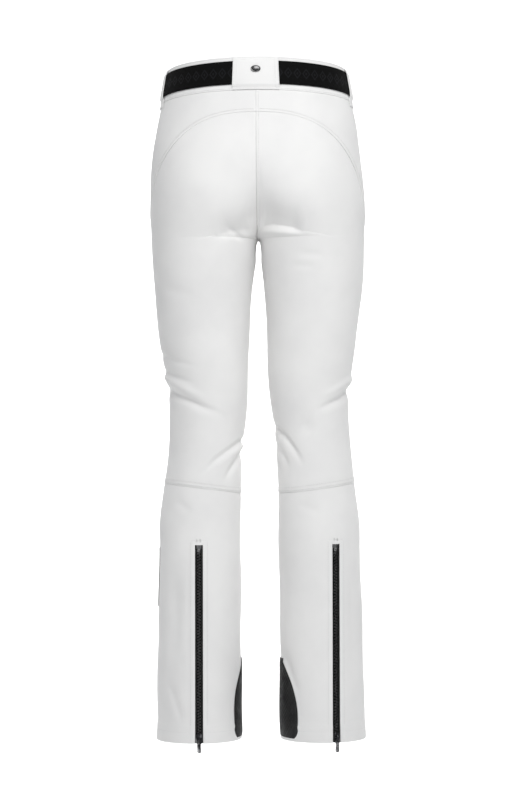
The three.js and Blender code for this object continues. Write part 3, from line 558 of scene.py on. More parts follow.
def shell_of(outer, inner, keep=None, ring=False):
    """Points and faces of a closed sheet between two grids, without the faces left out by keep."""
    if ring:
        outer, inner = (np.concatenate([g, g[:1]]) for g in (outer, inner))
    n, m = outer.shape[:2]
    keep = np.ones((n - 1, m - 1), bool) if keep is None else keep
    ids = np.arange(n * m).reshape(n, m)
    if ring:
        ids[-1] = ids[0]
    total = n * m
    quads = np.stack([ids[:-1, :-1], ids[1:, :-1], ids[1:, 1:], ids[:-1, 1:]], -1)[keep]
    padded = np.pad(keep, 1)
    faces = [quads, quads[:, ::-1] + total]

    def wall(start, end, where):
        p, q = start[where], end[where]
        faces.append(np.stack([q, p, p + total, q + total], -1))

    above, below = padded[1:-1, 1:], padded[1:-1, :-1]
    wall(ids[:-1], ids[1:], above & ~below)
    wall(ids[1:], ids[:-1], below & ~above)
    right, left = padded[1:, 1:-1], padded[:-1, 1:-1]
    if ring:
        right, left = right.copy(), left.copy()
        right[-1], left[0] = True, True
    wall(ids[:, 1:], ids[:, :-1], right & ~left)
    wall(ids[:, :-1], ids[:, 1:], left & ~right)
    points = np.concatenate([outer.reshape(-1, 3), inner.reshape(-1, 3)])
    return points, outward_faces(points, faces)


def outward_faces(points, faces):
    volume = 0.0
    for f in faces:
        if len(f):
            a, b, c = points[f[:, 0]], points[f[:, 1]], points[f[:, 2]]
            volume += np.einsum("ij,ij->", a, np.cross(b, c))
            if f.shape[1] == 4:
                d = points[f[:, 3]]
                volume += np.einsum("ij,ij->", a, np.cross(c, d))
    return [f[:, ::-1] for f in faces] if volume < 0 else faces


def arc_uv(grid):
    """Real lengths along and up a grid of points, for weaves that follow the cloth."""
    steps = np.linalg.norm(np.diff(grid, axis=0), axis=-1)
    along = np.concatenate([np.zeros((1, grid.shape[1])), np.cumsum(steps, 0)])
    along -= along[len(along) // 2][None]
    return np.stack([along, grid[..., 2]], -1)


def add_sheet(shape, outer, inner, keep=None, ring=False):
    points, faces = shell_of(outer, inner, keep, ring)
    if ring:
        outer = np.concatenate([outer, outer[:1]])
    uv = arc_uv(outer)
    shape.add(points, faces, np.concatenate([uv.reshape(-1, 2), uv.reshape(-1, 2)]))


def tube(path, radius, sides=6, closed=False):
    """The rings of points of a tube along each row of points; radius may change along it."""
    path = np.asarray(path, float)
    radius = np.broadcast_to(radius, path.shape[:-1])
    ahead = np.gradient(path, axis=-2)
    ahead /= np.linalg.norm(ahead, axis=-1, keepdims=True) + 1e-12
    helper = np.where(np.abs(ahead[..., 2:]) > 0.9, [1.0, 0, 0], [0, 0, 1.0])
    first = np.cross(ahead, helper)
    first /= np.linalg.norm(first, axis=-1, keepdims=True) + 1e-12
    second = np.cross(ahead, first)
    turn = np.arange(sides) * 2 * np.pi / sides
    ring = (first[..., None, :] * np.cos(turn)[:, None]
            + second[..., None, :] * np.sin(turn)[:, None])
    points = path[..., None, :] + ring * radius[..., None, None]
    return points


def add_tubes(shape, path, radius, sides=6):
    """Closed tubes for an array of paths with the shape (tubes, points, 3)."""
    points = tube(path, radius, sides)
    tubes, count = points.shape[:2]
    ids = np.arange(tubes * count * sides).reshape(tubes, count, sides)
    following = np.roll(ids, -1, 2)
    quads = np.stack([ids[:, :-1], following[:, :-1], following[:, 1:], ids[:, 1:]], -1)
    caps = [ids[:, 0, ::-1], ids[:, -1]]
    shape.add(points, outward_faces(points.reshape(-1, 3), [quads.reshape(-1, 4), *caps]))


# ---- sewing threads ----

def resample(points, pitch, length):
    """Start, middle and end places of stitches along a fine line of points."""
    run = np.concatenate([[0], np.cumsum(np.linalg.norm(np.diff(points, axis=0), axis=1))])
    starts = np.arange(pitch / 2, run[-1] - length, pitch)
    steps = starts[:, None] + np.linspace(0, length, 5)[None]
    return np.stack([np.interp(steps, run, points[:, i]) for i in range(3)], -1)


def stitches(shape, inner, outer, stitch=STITCH):
    """A row of stitches. inner lies just under the cloth's face and outer just over it."""
    low = resample(inner, stitch["pitch"], stitch["length"])
    high = resample(outer, stitch["pitch"], stitch["length"])
    n = min(len(low), len(high))
    bow = np.array([0.0, 0.8, 1.0, 0.8, 0.0])[None, :, None]
    thin = stitch["radius"] * np.array([0.55, 0.95, 1.0, 0.95, 0.55])
    if n:
        add_tubes(shape, low[:n] + (high[:n] - low[:n]) * bow, np.broadcast_to(thin, (n, 5)), 5)


def cloth_stitches(shape, side, heights, arounds, base=0.0):
    low = cloth(side, heights, arounds, base - 0.35)
    high = cloth(side, heights, arounds, base + 0.2)
    stitches(shape, low, high)


def bartack(shape, corner, across, along, count=9):
    """A short dense bar of zigzag stitches from a corner, across and along being vectors."""
    shares = np.linspace(0, 1, 2 * count + 1)
    zigzag = corner + shares[:, None] * along + (np.arange(2 * count + 1) % 2)[:, None] * across
    add_tubes(shape, zigzag[None], 0.32, 5)


# ---- materials ----

class Look:
    """A procedural material, built up node by node."""

    def __init__(self, name, color, roughness, **fixed):
        self.material = bpy.data.materials.new(name)
        self.material.use_nodes = True
        self.tree = self.material.node_tree
        self.bsdf = self.tree.nodes["Principled BSDF"]
        self.bsdf.inputs["Base Color"].default_value = (*color, 1)
        self.bsdf.inputs["Roughness"].default_value = roughness
        for socket, value in fixed.items():
            self.bsdf.inputs[socket.replace("_", " ")].default_value = value
        self.coords = self.tree.nodes.new("ShaderNodeTexCoord")
        self.normal = None

    def node(self, kind, links=None, **settings):
        node = self.tree.nodes.new("ShaderNode" + kind)
        for key, value in settings.items():
            if hasattr(node, key):
                setattr(node, key, value)
            else:
                node.inputs[key.replace("_", " ")].default_value = value
        for socket, source in (links or {}).items():
            self.tree.links.new(source, node.inputs[socket])
        return node

    def place(self, space="Object", scale=(1, 1, 1), turn=0.0):
        node = self.node("Mapping", {"Vector": self.coords.outputs[space]})
        node.inputs["Scale"].default_value = scale
        node.inputs["Rotation"].default_value = (0, 0, turn)
        return node.outputs["Vector"]

    def noise(self, scale, detail=3.0, space="Object", stretch=(1, 1, 1), rough=0.5):
        node = self.node("TexNoise", {"Vector": self.place(space, stretch)}, Scale=scale,
                         Detail=detail, Roughness=rough)
        return node.outputs["Fac"]

    def ribs(self, pitch, direction="X", space="UV", turn=0.0, profile="SIN"):
        """Parallel ribs a number of metres apart."""
        node = self.node("TexWave", {"Vector": self.place(space, turn=turn)},
                         bands_direction=direction, wave_profile=profile,
                         Scale=math.pi / (10 * pitch))
        return node.outputs["Fac"]

    def math(self, operation, a, b=0.5):
        node = self.node("Math", operation=operation)
        for socket, value in zip(node.inputs, (a, b)):
            if isinstance(value, (int, float)):
                socket.default_value = value
            else:
                self.tree.links.new(value, socket)
        return node.outputs["Value"]

    def ramp(self, source, *stops):
        node = self.node("ValToRGB", {"Fac": source})
        ramp = node.color_ramp
        while len(ramp.elements) < len(stops):
            ramp.elements.new(0.5)
        for element, (position, color) in zip(ramp.elements, stops):
            element.position = position
            element.color = (*color, 1) if len(color) == 3 else color
        return node.outputs["Color"]

    def gray(self, source, low, high, start=0.3, end=0.7):
        return self.ramp(source, (start, (low,) * 3), (end, (high,) * 3))

    def color(self, source):
        self.tree.links.new(source, self.bsdf.inputs["Base Color"])

    def roughness(self, source):
        self.tree.links.new(source, self.bsdf.inputs["Roughness"])

    def bump(self, height, strength, distance):
        node = self.node("Bump", {"Height": height}, Strength=strength, Distance=distance)
        if self.normal is not None:
            self.tree.links.new(self.normal, node.inputs["Normal"])
        self.normal = node.outputs["Normal"]
        self.tree.links.new(self.normal, self.bsdf.inputs["Normal"])


WHITE_HIGH = (0.90, 0.895, 0.885)
WHITE_LOW = (0.835, 0.83, 0.825)


def shell_look():
    look = Look("soft_shell", WHITE_HIGH, 0.82, Sheen_Weight=0.05, Sheen_Roughness=0.45,
                Specular_IOR_Level=0.3)
    patches = look.noise(9.0, 4.0)
    look.color(look.ramp(patches, (0.3, WHITE_LOW), (0.62, WHITE_HIGH)))
    look.roughness(look.gray(look.noise(160.0, 2.0), 0.7, 0.86))
    warp, weft = look.ribs(0.0009, "X"), look.ribs(0.0007, "Y")
    look.bump(look.math("MULTIPLY", warp, weft), 0.22, 0.00025)
    look.bump(look.noise(900.0, 3.0), 0.12, 0.0003)
    look.bump(look.noise(38.0, 3.0), 0.10, 0.0012)
    return look.material


def thread_look(name, color):
    look = Look(name, color, 0.55, Sheen_Weight=0.2)
    tone = look.noise(420.0, 2.0)
    look.color(look.ramp(tone, (0.3, [c * 0.82 for c in color]), (0.7, color)))
    look.bump(look.ribs(0.00045, "DIAGONAL", "Object"), 0.4, 0.0001)
    return look.material


def webbing_look(name, motif):
    look = Look(name, (0.005, 0.005, 0.0054), 0.75, Sheen_Weight=0.01, Specular_IOR_Level=0.06)
    ribs = look.ribs(0.0011, "X")
    cross = look.ribs(0.0008, "Y")
    base = look.math("MULTIPLY", ribs, cross)
    tone = look.gray(look.noise(300.0, 3.0, "UV"), 0.75, 1.2)
    shade = look.node("MixRGB", {"Color1": look.gray(base, 0.004, 0.009), "Color2": tone},
                      blend_type="MULTIPLY", Fac=1.0).outputs["Color"]
    if motif:
        pattern = motif_mask(look)
        shade = look.node("MixRGB", {"Fac": pattern, "Color1": shade},
                          Color2=(0.011, 0.011, 0.0125, 1))
        shade = shade.outputs["Color"]
        look.roughness(look.gray(pattern, 0.75, 0.55))
        look.bump(pattern, 0.5, 0.0004)
    look.color(shade)
    look.bump(base, 0.7, 0.0004)
    return look.material


def motif_mask(look):
    """A plain woven motif of rows of lozenges, 14 mm apart, along the middle of the belt."""
    split = look.node("SeparateXYZ", {"Vector": look.coords.outputs["UV"]})
    along, across = split.outputs["X"], split.outputs["Y"]
    cell = look.math("FRACT", look.math("MULTIPLY", along, 1 / 0.0145))
    x = look.math("ABSOLUTE", look.math("SUBTRACT", cell, 0.5))
    y = look.math("ABSOLUTE", look.math("MULTIPLY", across, 1 / 0.019))
    reach = look.math("ADD", x, y)
    outer = look.math("LESS_THAN", reach, 0.46)
    inner = look.math("LESS_THAN", reach, 0.30)
    core = look.math("LESS_THAN", reach, 0.14)
    return look.math("ADD", look.math("SUBTRACT", outer, inner), core)


def tape_look():
    look = Look("zip_tape", (0.006, 0.006, 0.0065), 0.75, Sheen_Weight=0.03,
                Specular_IOR_Level=0.12)
    left = look.ribs(0.0013, "DIAGONAL", "UV")
    right = look.ribs(0.0006, "Y", "UV")
    weave = look.math("MULTIPLY", left, right)
    look.color(look.gray(weave, 0.004, 0.012))
    look.bump(weave, 0.7, 0.0003)
    return look.material


def acetal_look(name, value):
    look = Look(name, (value,) * 3, 0.38, Specular_IOR_Level=0.3)
    look.color(look.gray(look.noise(700.0, 2.0), value * 0.8, value * 1.4))
    look.roughness(look.gray(look.noise(260.0, 3.0), 0.3, 0.5))
    look.bump(look.noise(1500.0, 2.0), 0.1, 0.0001)
    return look.material


def metal_look(name, color, worn, roughness, wear):
    look = Look(name, color, roughness, Metallic=1.0)
    scratches = look.noise(420.0, 4.0, "Object", (1, 1, 0.08), 0.65)
    patches = look.noise(130.0, 3.0)
    rubbed = look.math("MULTIPLY", scratches, patches)
    look.color(look.ramp(rubbed, (wear, color), (wear + 0.16, worn)))
    look.roughness(look.gray(scratches, roughness - 0.08, roughness + 0.14))
    look.bump(scratches, 0.16, 0.0001)
    return look.material


def patch_look():
    look = Look("kick_patch", (0.013, 0.013, 0.014), 0.62, Specular_IOR_Level=0.25)
    grain = look.noise(1100.0, 3.0)
    look.color(look.gray(look.noise(60.0, 4.0), 0.01, 0.024))
    look.roughness(look.gray(look.noise(90.0, 3.0), 0.5, 0.72))
    look.bump(grain, 0.35, 0.0003)
    return look.material


def lining_look():
    look = Look("lining", (0.66, 0.665, 0.67), 0.5, Sheen_Weight=0.12)
    rip = look.math("MAXIMUM", look.ribs(0.004, "X"), look.ribs(0.004, "Y"))
    lines = look.gray(rip, 0.0, 1.0, 0.93, 0.99)
    fine = look.math("MULTIPLY", look.ribs(0.0006, "X"), look.ribs(0.0006, "Y"))
    look.color(look.ramp(look.noise(22.0, 4.0), (0.3, (0.58, 0.585, 0.59)),
                         (0.7, (0.7, 0.705, 0.71))))
    look.bump(fine, 0.2, 0.0002)
    look.bump(lines, 0.4, 0.0003)
    look.bump(look.noise(70.0, 3.0), 0.3, 0.001)
    return look.material


def gloss_look(name):
    look = Look(name, (0.01, 0.01, 0.011), 0.22, Coat_Weight=0.5, Coat_Roughness=0.1)
    look.roughness(look.gray(look.noise(240.0, 3.0), 0.16, 0.34))
    look.bump(look.noise(90.0, 2.0), 0.08, 0.0003)
    return look.material


def floor_look():
    look = Look("studio_floor", (0.93, 0.93, 0.93), 0.9)
    look.color(look.ramp(look.noise(1.2, 2.0), (0.3, (0.915,) * 3), (0.7, (0.935,) * 3)))
    return look.material


SHELL = shell_look()
THREAD = thread_look("white_thread", (0.86, 0.855, 0.85))
BLACK_THREAD = thread_look("black_thread", (0.02, 0.02, 0.022))
BELT_WEB = webbing_look("belt_webbing", True)
ELASTIC_WEB = webbing_look("gaiter_elastic", False)
TAPE_CLOTH = tape_look()
TEETH = acetal_look("moulded_teeth", 0.0035)
COIL = acetal_look("nylon_coil", 0.01)
ZIP_METAL = metal_look("zip_metal", (0.05, 0.05, 0.053), (0.42, 0.42, 0.43), 0.3, 0.26)
PULL_METAL = metal_look("pull_metal", (0.025, 0.025, 0.027), (0.5, 0.5, 0.51), 0.26, 0.2)
BUCKLE_METAL = metal_look("buckle_metal", (0.09, 0.09, 0.095), (0.38, 0.38, 0.39), 0.34, 0.28)
PATCH_COAT = patch_look()
LINING = lining_look()
BLACK_GLOSS = gloss_look("black_gloss")
PRINT = acetal_look("black_print", 0.014)


# ---- cloth panels ----

class Edge:
    """How one edge of a panel is sewn: how far it stands proud, and where its stitches run."""

    def __init__(self, raised=0.0, width=0.0, stitches=(), roll=0.4):
        self.raised, self.width, self.stitches, self.roll = raised, width, stitches, roll

    def profile(self, distance):
        lift = -self.roll * np.exp(-(distance / 0.8) ** 2)
        if self.raised:
            lift += self.raised * (1 - ease(distance, self.width - 0.8, self.width + 1.0))
        for line in self.stitches:
            lift -= 0.5 * np.exp(-((distance - line) / 0.8) ** 2)
        return lift


PLAIN = Edge()
CENTRE_RIDGE = Edge(0.85, 4.6, (4.0,), 0.4)
CENTRE_FLAT = Edge(roll=0.5)
YOKE_RIDGE = Edge(0.65, 5.2, (4.4,), 0.4)
KNEE_RIDGE = Edge(0.5, 8.4, (2.2, 7.6), 0.35)
ZIP_EDGE = Edge(0.6, 7.6, (ZIP_STITCH,), 0.6)
POCKET_EDGE = Edge(0.4, 6.0, (1.6, 5.4), 0.6)
BAND_SEAM = Edge(roll=0.2)


# Heights and a width at which a panel's columns and spans are counted
ABOVE_KNEE = 700.0
BELOW_KNEE = 200.0
ANY_LEVEL = 500.0
ANY_WIDTH = 90.0


def span_places(count, width, power=1.0):
    """Distances from the start of a span, close together at both ends and as many at any width."""
    width = np.asarray(width, float)[..., None]
    squeeze = np.minimum(1.0, width / (FINE[-1] + FINE[-1] + 1e-6) / 1.15)
    first, last = FINE * squeeze, width - FINE[::-1] * squeeze
    inner = np.linspace(0, 1, count + 1)[1:-1] ** power
    middle = first[..., -1:] + (last[..., :1] - first[..., -1:]) * inner
    ends = (*width.shape[:-1], len(FINE))
    return np.concatenate([np.broadcast_to(first, ends), middle, np.broadcast_to(last, ends)], -1)


class Panel:
    """A cloth panel on a grid whose lines follow its seams and the edges of its openings.

    columns are functions of height and rows are functions of the way around. Each opening is the
    (column, row) number of a cell between them that stays open.
    """

    def __init__(self, side, columns, rows, edges, openings=(), powers=None):
        self.side, self.columns, self.rows, self.edges = side, columns, rows, edges
        self.openings = openings
        self.powers = powers or {}
        self.lay_out()

    def counts(self):
        middle = np.array(ABOVE_KNEE if self.rows[0](0.25) > 300 else BELOW_KNEE)
        spans_a = []
        for low, high in zip(self.columns, self.columns[1:]):
            width = (high(middle) - low(middle)) * girth_step(self.side, middle, 0.25)
            spans_a.append(max(3, int(abs(width) / CLOTH_STEP)))
        centre = (self.columns[0](middle) + self.columns[-1](middle)) / 2
        spans_h = [max(3, int(abs(high(centre) - low(centre)) / CLOTH_STEP))
                   for low, high in zip(self.rows, self.rows[1:])]
        return spans_a, spans_h

    def lay_out(self):
        spans_a, spans_h = self.counts()
        self.cells_a, self.cells_h = self.cell_numbers(spans_a), self.cell_numbers(spans_h)
        total_a, total_h = len(self.cells_a) + 1, len(self.cells_h) + 1
        first, last = self.columns[0](ANY_LEVEL), self.columns[-1](ANY_LEVEL)
        around = np.broadcast_to(np.linspace(first, last, total_a)[:, None], (total_a, total_h))
        for _ in range(3):
            height = self.fill_rows(around, spans_h)
            around = self.fill_columns(height, spans_a)
        self.height, self.around = self.fill_rows(around, spans_h), around

    @staticmethod
    def cell_numbers(spans):
        sizes = [len(span_places(n, ANY_WIDTH)) - 1 for n in spans]
        return np.repeat(np.arange(len(spans)), sizes)

    def fill_rows(self, around, spans):
        parts = []
        for i, (low, high, n) in enumerate(zip(self.rows, self.rows[1:], spans)):
            a = around[:, i * around.shape[1] // len(spans)]
            places = span_places(n, high(a) - low(a), self.powers.get(i, 1.0))
            rows = low(a)[:, None] + places
            parts.append(rows if i == len(spans) - 1 else rows[:, :-1])
        return np.concatenate(parts, 1)

    def fill_columns(self, height, spans):
        parts = []
        for i, (low, high, n) in enumerate(zip(self.columns, self.columns[1:], spans)):
            h = height[i * height.shape[0] // len(spans)]
            start, end = low(h), high(h)
            step = girth_step(self.side, h, (start + end) / 2)
            places = span_places(n, (end - start) * step)
            columns = (start[:, None] + places / step[:, None]).T
            parts.append(columns if i == len(spans) - 1 else columns[:-1])
        return np.concatenate(parts, 0)

    def distance_to_column(self, index):
        line = self.columns[index](self.height)
        return np.abs(self.around - line) * girth_step(self.side, self.height, line)

    def distance_to_row(self, index):
        line = self.rows[index](self.around)
        ahead = self.rows[index](self.around + 0.002)
        behind = self.rows[index](self.around - 0.002)
        run = girth_step(self.side, line, self.around) * 0.004
        return np.abs(self.height - line) / np.sqrt(1 + ((ahead - behind) / run) ** 2)

    def edge_lift(self):
        lift = np.zeros(self.height.shape)
        for (kind, index, low, high), edge in self.edges.items():
            if kind == "column":
                distance, place = self.distance_to_column(index), self.height
            else:
                distance, place = self.distance_to_row(index), self.around
            reach = np.maximum(0, np.maximum(low - place, place - high))
            distance = np.hypot(distance, reach * (1.0 if kind == "column" else 400.0))
            lift += edge.profile(distance)
        return lift

    def make(self, name):
        folds_here = half_folds(self.side, self.height, self.around)
        lift = folds_here + self.edge_lift()
        outer = at(self.side, self.height, self.around, lift)
        inner = at(self.side, self.height, self.around, folds_here - CLOTH)
        keep = np.ones((outer.shape[0] - 1, outer.shape[1] - 1), bool)
        for column, row in self.openings:
            keep &= ~((self.cells_a[:, None] == column) & (self.cells_h[None] == row))
        shape = Shape()
        add_sheet(shape, outer, inner, keep)
        return shape.make(name, SHELL, replaces=(name,), slot="shell_fabric")


def seam_low(line):
    return lambda around: line(around) + SEWN_GAP


def seam_high(line):
    return lambda around: line(around) - SEWN_GAP


def around_of_opening(line, hand, zipper):
    """The cloth's edge beside a zip."""
    return lambda height: beside(line.side, height, line.around(height),
                                 hand * zipper["opening"] / 2)


def fly_edge(side):
    return lambda height: around_at_x(side, height, COIL_ZIP["opening"] / 2, front=True)


ALL = (-1e6, 1e6)  # the whole length of an edge
EDGE = 0.0004  # how far a panel stays off the centre and side seams, as a share of the way around
POCKET_LEVEL = 900.0  # a height at which the pocket's opening has both its edges


def back_panels(side, name):
    centre = CENTRE_RIDGE if side < 0 else CENTRE_FLAT
    rows = [seam_low(knee_seam), level(INSEAM), seam_high(yoke_seam)]
    edges = {
        ("column", 0, INSEAM + 1, 1e6): centre, ("column", 1, *ALL): PLAIN,
        ("row", 0, *ALL): KNEE_RIDGE, ("row", 2, *ALL): PLAIN,
        ("column", 0, -1e6, INSEAM - 1): PLAIN,
    }
    Panel(side, [share(EDGE), share(0.5 - EDGE)], rows, edges, powers={1: 1.7}).make(
        f"{name}_back_panel")
    edges = {
        ("column", 0, *ALL): centre, ("column", 1, *ALL): PLAIN,
        ("row", 0, *ALL): YOKE_RIDGE, ("row", 1, *ALL): BAND_SEAM,
    }
    Panel(side, [share(EDGE), share(0.5 - EDGE)], [seam_low(yoke_seam), seam_high(band_seam)],
          edges).make(f"{name}_back_yoke")


def lower_panels(side, name):
    hem_edge = Edge(0.9, HEM_STITCHES[1] + 1.5, HEM_STITCHES, 0.5)
    edges = {
        ("column", 0, *ALL): PLAIN, ("column", 1, *ALL): PLAIN,
        ("row", 0, *ALL): hem_edge, ("row", 1, *ALL): PLAIN,
    }
    Panel(side, [share(0.5 + EDGE), share(1 - EDGE)], [level(0), seam_high(knee_seam)],
          edges).make(f"{name}_shin_panel")
    line = LEG_LINES[side]
    columns = [share(EDGE), around_of_opening(line, -1, LEG_ZIP),
               around_of_opening(line, 1, LEG_ZIP), share(0.5 - EDGE)]
    top = LEG_ZIP["length"]
    edges = {
        ("column", 0, *ALL): PLAIN, ("column", 3, *ALL): PLAIN,
        ("column", 1, -1e6, top): ZIP_EDGE, ("column", 2, -1e6, top): ZIP_EDGE,
        ("row", 0, *ALL): hem_edge, ("row", 2, *ALL): PLAIN,
    }
    Panel(side, columns, [level(0), level(top), seam_high(knee_seam)], edges,
          [(1, 0)]).make(f"{name}_calf_panel")


def front_panel(side, name):
    pocket = POCKET_LINES[side]
    sides = [around_of_opening(pocket, hand, COIL_ZIP) for hand in (1, -1)]
    sides.sort(key=lambda line: float(line(POCKET_LEVEL)))
    columns = [share(0.5 + EDGE), *sides, fly_edge(side), share(1 - EDGE)]
    pocket_low = pocket.start[0] - POCKET_LENGTH + 3
    fly_low = FLY_TOP - FLY_LENGTH + 3
    low, high = sorted((pocket_low, fly_low))
    rows = [seam_low(knee_seam), level(INSEAM), level(low), level(high),
            lambda around: band_seam(around) - 2.7, seam_high(band_seam)]
    pocket_edge = (pocket_low - 1, pocket.start[0])
    edges = {
        ("column", 0, *ALL): PLAIN, ("column", 4, *ALL): PLAIN,
        ("column", 1, *pocket_edge): POCKET_EDGE, ("column", 2, *pocket_edge): POCKET_EDGE,
        ("column", 3, fly_low, 1e6): ZIP_EDGE,
        ("row", 0, *ALL): KNEE_RIDGE, ("row", 5, *ALL): BAND_SEAM,
    }
    pocket_rows = (3,) if pocket_low > fly_low else (2, 3)
    fly_rows = (2, 3, 4) if pocket_low > fly_low else (3, 4)
    openings = [(1, row) for row in pocket_rows] + [(3, row) for row in fly_rows]
    Panel(side, columns, rows, edges, openings, {1: 1.7}).make(f"{name}_front_panel")


for SIDE, NAME in SIDES.items():
    back_panels(SIDE, NAME)
    lower_panels(SIDE, NAME)
    front_panel(SIDE, NAME)


# ---- seams' stitches ----

def seam_stitches():
    for side, name in SIDES.items():
        shape = Shape()
        up = np.linspace(INSEAM + 8, band_seam(0.0) - 1, 90)
        if side < 0:
            cloth_stitches(shape, side, up, beside(side, up, 0 * up, 4.0), 0.75)
        half = np.linspace(0.004, 0.496, 160)
        cloth_stitches(shape, side, above_line(side, yoke_seam, half, 4.4), half, 0.95)
        for rise in KNEE_RIDGE.stitches:
            for start, end in ((0.004, 0.496), (0.504, 0.996)):
                arounds = np.linspace(start, end, 120)
                heights = above_line(side, knee_seam, arounds, rise)
                cloth_stitches(shape, side, heights, arounds, 0.9)
        line = LEG_LINES[side]
        for height in HEM_STITCHES:
            middle = float(line.around(height))
            reach = LEG_ZIP["opening"] / 2 + ZIP_STITCH + 1
            gap = reach / float(girth_step(side, height, middle))
            for start, end in ((0.003, middle - gap), (middle + gap, 0.997)):
                arounds = np.linspace(start, end, 140)
                cloth_stitches(shape, side, height + 0 * arounds, arounds, 0.4)
        zip_stitches(shape, side, line)
        pocket_stitches(shape, side, POCKET_LINES[side])
        down = np.linspace(FLY_TOP - FLY_LENGTH + 2, band_seam(1.0) - 1, 80)
        x = COIL_ZIP["opening"] / 2 + ZIP_STITCH
        cloth_stitches(shape, side, down, around_at_x(side, down, x, True), 0.3)
        shape.make(f"{name}_seam_stitches", THREAD, slot="shell_fabric")


def above_line(side, line, arounds, distance):
    slope = (line(arounds + 0.002) - line(arounds - 0.002)) / 0.004
    steep = slope / girth_step(side, line(arounds), arounds)
    return line(arounds) + SEAM / 2 + distance * np.sqrt(1 + steep ** 2)


def zip_stitches(shape, side, line):
    reach = LEG_ZIP["opening"] / 2 + ZIP_STITCH
    top = LEG_ZIP["length"]
    up = np.linspace(3, top + ZIP_STITCH, 160)
    for hand in (-1, 1):
        cloth_stitches(shape, side, up, beside(side, up, line.around(up), hand * reach), 0.3)
    for rise in (1.8, ZIP_STITCH):
        heights = np.full(30, top + rise)
        across = beside(side, heights, line.around(top), np.linspace(-reach, reach, 30))
        cloth_stitches(shape, side, heights, across, 0.2)
    for hand in (-1, 1):
        place = beside(side, top + 4.2, line.around(top), hand * 2.6)
        corner = cloth(side, np.array(top + 4.2), place, 0.35)
        bartack(shape, corner, line.u * 1.1, line.w * 5.0)


def pocket_stitches(shape, side, line):
    low, high = line.end[0] + 3, line.start[0]
    down = np.linspace(low, high - 1, 80)
    for hand in (-1, 1):
        for distance in POCKET_EDGE.stitches:
            reach = hand * (COIL_ZIP["opening"] / 2 + distance)
            cloth_stitches(shape, side, down, beside(side, down, line.around(down), reach), 0.4)
        place = beside(side, low - 1.5, line.around(low), -4.0)
        corner = cloth(side, np.array(low - 1.5), place, 0.3)
        bartack(shape, corner, -line.w * 2.0, line.u * 8.0 * np.sign(line.u[0] * side), 8)


# ---- zips ----

def tooth_outline(hand):
    outline = [
        (3.7, -0.7), (2.2, -0.98), (0.9, -0.6), (0.1, -0.78), (-0.7, -0.72), (-1.1, -0.35),
        (-1.1, 0.35), (-0.7, 0.72), (0.1, 0.78), (0.9, 0.6), (2.2, 0.98), (3.7, 0.7),
    ]
    return np.array([(hand * u, w) for u, w in outline])


def teeth(line, hand, name):
    zipper = LEG_ZIP
    start = zipper["slider"] / 2 + 1
    count = int((zipper["length"] - start) / zipper["pitch"]) - 1
    first = start + (0.25 if hand > 0 else 0.75) * zipper["pitch"]
    outline = tooth_outline(hand)
    middle = outline.mean(0)
    half = zipper["chain"] / 2
    rings = []
    for v, scale in ((-half, 0.8), (-half + 0.3, 1.0), (half - 0.35, 1.0), (half, 0.76)):
        ring = middle + (outline - middle) * scale
        rings.append(np.column_stack([ring[:, 0], np.full(len(ring), v - CHAIN_DEPTH), ring[:, 1]]))
    one = np.array(rings)
    shift = np.zeros((count, 1, 1, 3))
    shift[:, 0, 0, 2] = first + np.arange(count) * zipper["pitch"]
    local = one[None] + shift
    levels, sides = one.shape[:2]
    ids = np.arange(count * levels * sides).reshape(count, levels, sides)
    following = np.roll(ids, -1, 2)
    quads = np.stack([ids[:, :-1], following[:, :-1], following[:, 1:], ids[:, 1:]], -1)
    world = line.world(local[..., 0], local[..., 1], local[..., 2])
    shape = Shape()
    flat = world.reshape(-1, 3)
    shape.add(world, outward_faces(flat, [quads.reshape(-1, 4), ids[:, 0, ::-1], ids[:, -1]]))
    run = np.linspace(start, start + (count + 0.5) * zipper["pitch"], 60)
    cord = line.world(hand * (zipper["outer"] + zipper["spine"]) / 2, -CHAIN_DEPTH, run)
    add_tubes(shape, cord[None], 0.85, 8)
    shape.make(name, TEETH, replaces=(name,), slot="zip_teeth", crisp=30)


def leg_tape(side, line, hand, name):
    heights = np.linspace(0.5, LEG_ZIP["length"] + 8, 150)
    reach = np.linspace(LEG_ZIP["tape_edge"], LEG_ZIP["tape_edge"] + LEG_ZIP["tape_width"], 14)
    around = beside(side, heights[None], line.around(heights)[None], hand * reach[:, None])
    bead = 0.12 * np.exp(-((reach - LEG_ZIP["tape_edge"] - 1.2) / 0.7) ** 2)[:, None] + 0 * heights
    shape = Shape()
    add_sheet(shape, at(side, heights[None], around, -CHAIN_DEPTH + TAPE / 2 + bead * 0.4),
              at(side, heights[None], around, -CHAIN_DEPTH - TAPE / 2 + 0 * bead))
    shape.make(name, TAPE_CLOTH, replaces=(name,), slot="zip_tape")


def coil_rows(line, length, name):
    start, end = COIL_ZIP["slider"] / 2 + 1, length - 5
    pitch, steps = 1.3, 10
    turns = int((end - 2 - start) / pitch)
    theta = np.linspace(0, turns * 2 * np.pi, turns * steps)
    shape = Shape()
    for hand in (-1, 1):
        shift = 0.25 * hand * pitch
        u = hand * (1.36 + 0.87 * np.cos(theta))
        v = -CHAIN_DEPTH + 0.82 * np.sin(theta)
        path = line.world(u, v, start + 0.3 + shift + theta / (2 * np.pi) * pitch)
        add_tubes(shape, path[None], 0.27, 6)
    stop = np.linspace(-2.2, 2.2, 9)
    for w in (end - 1.6, end - 0.8, end - 0.1):
        add_tubes(shape, line.world(stop, -CHAIN_DEPTH + 0.5, w)[None], 0.42, 6)
    shape.make(name, COIL, replaces=(name,), slot="zip_coil", crisp=50)


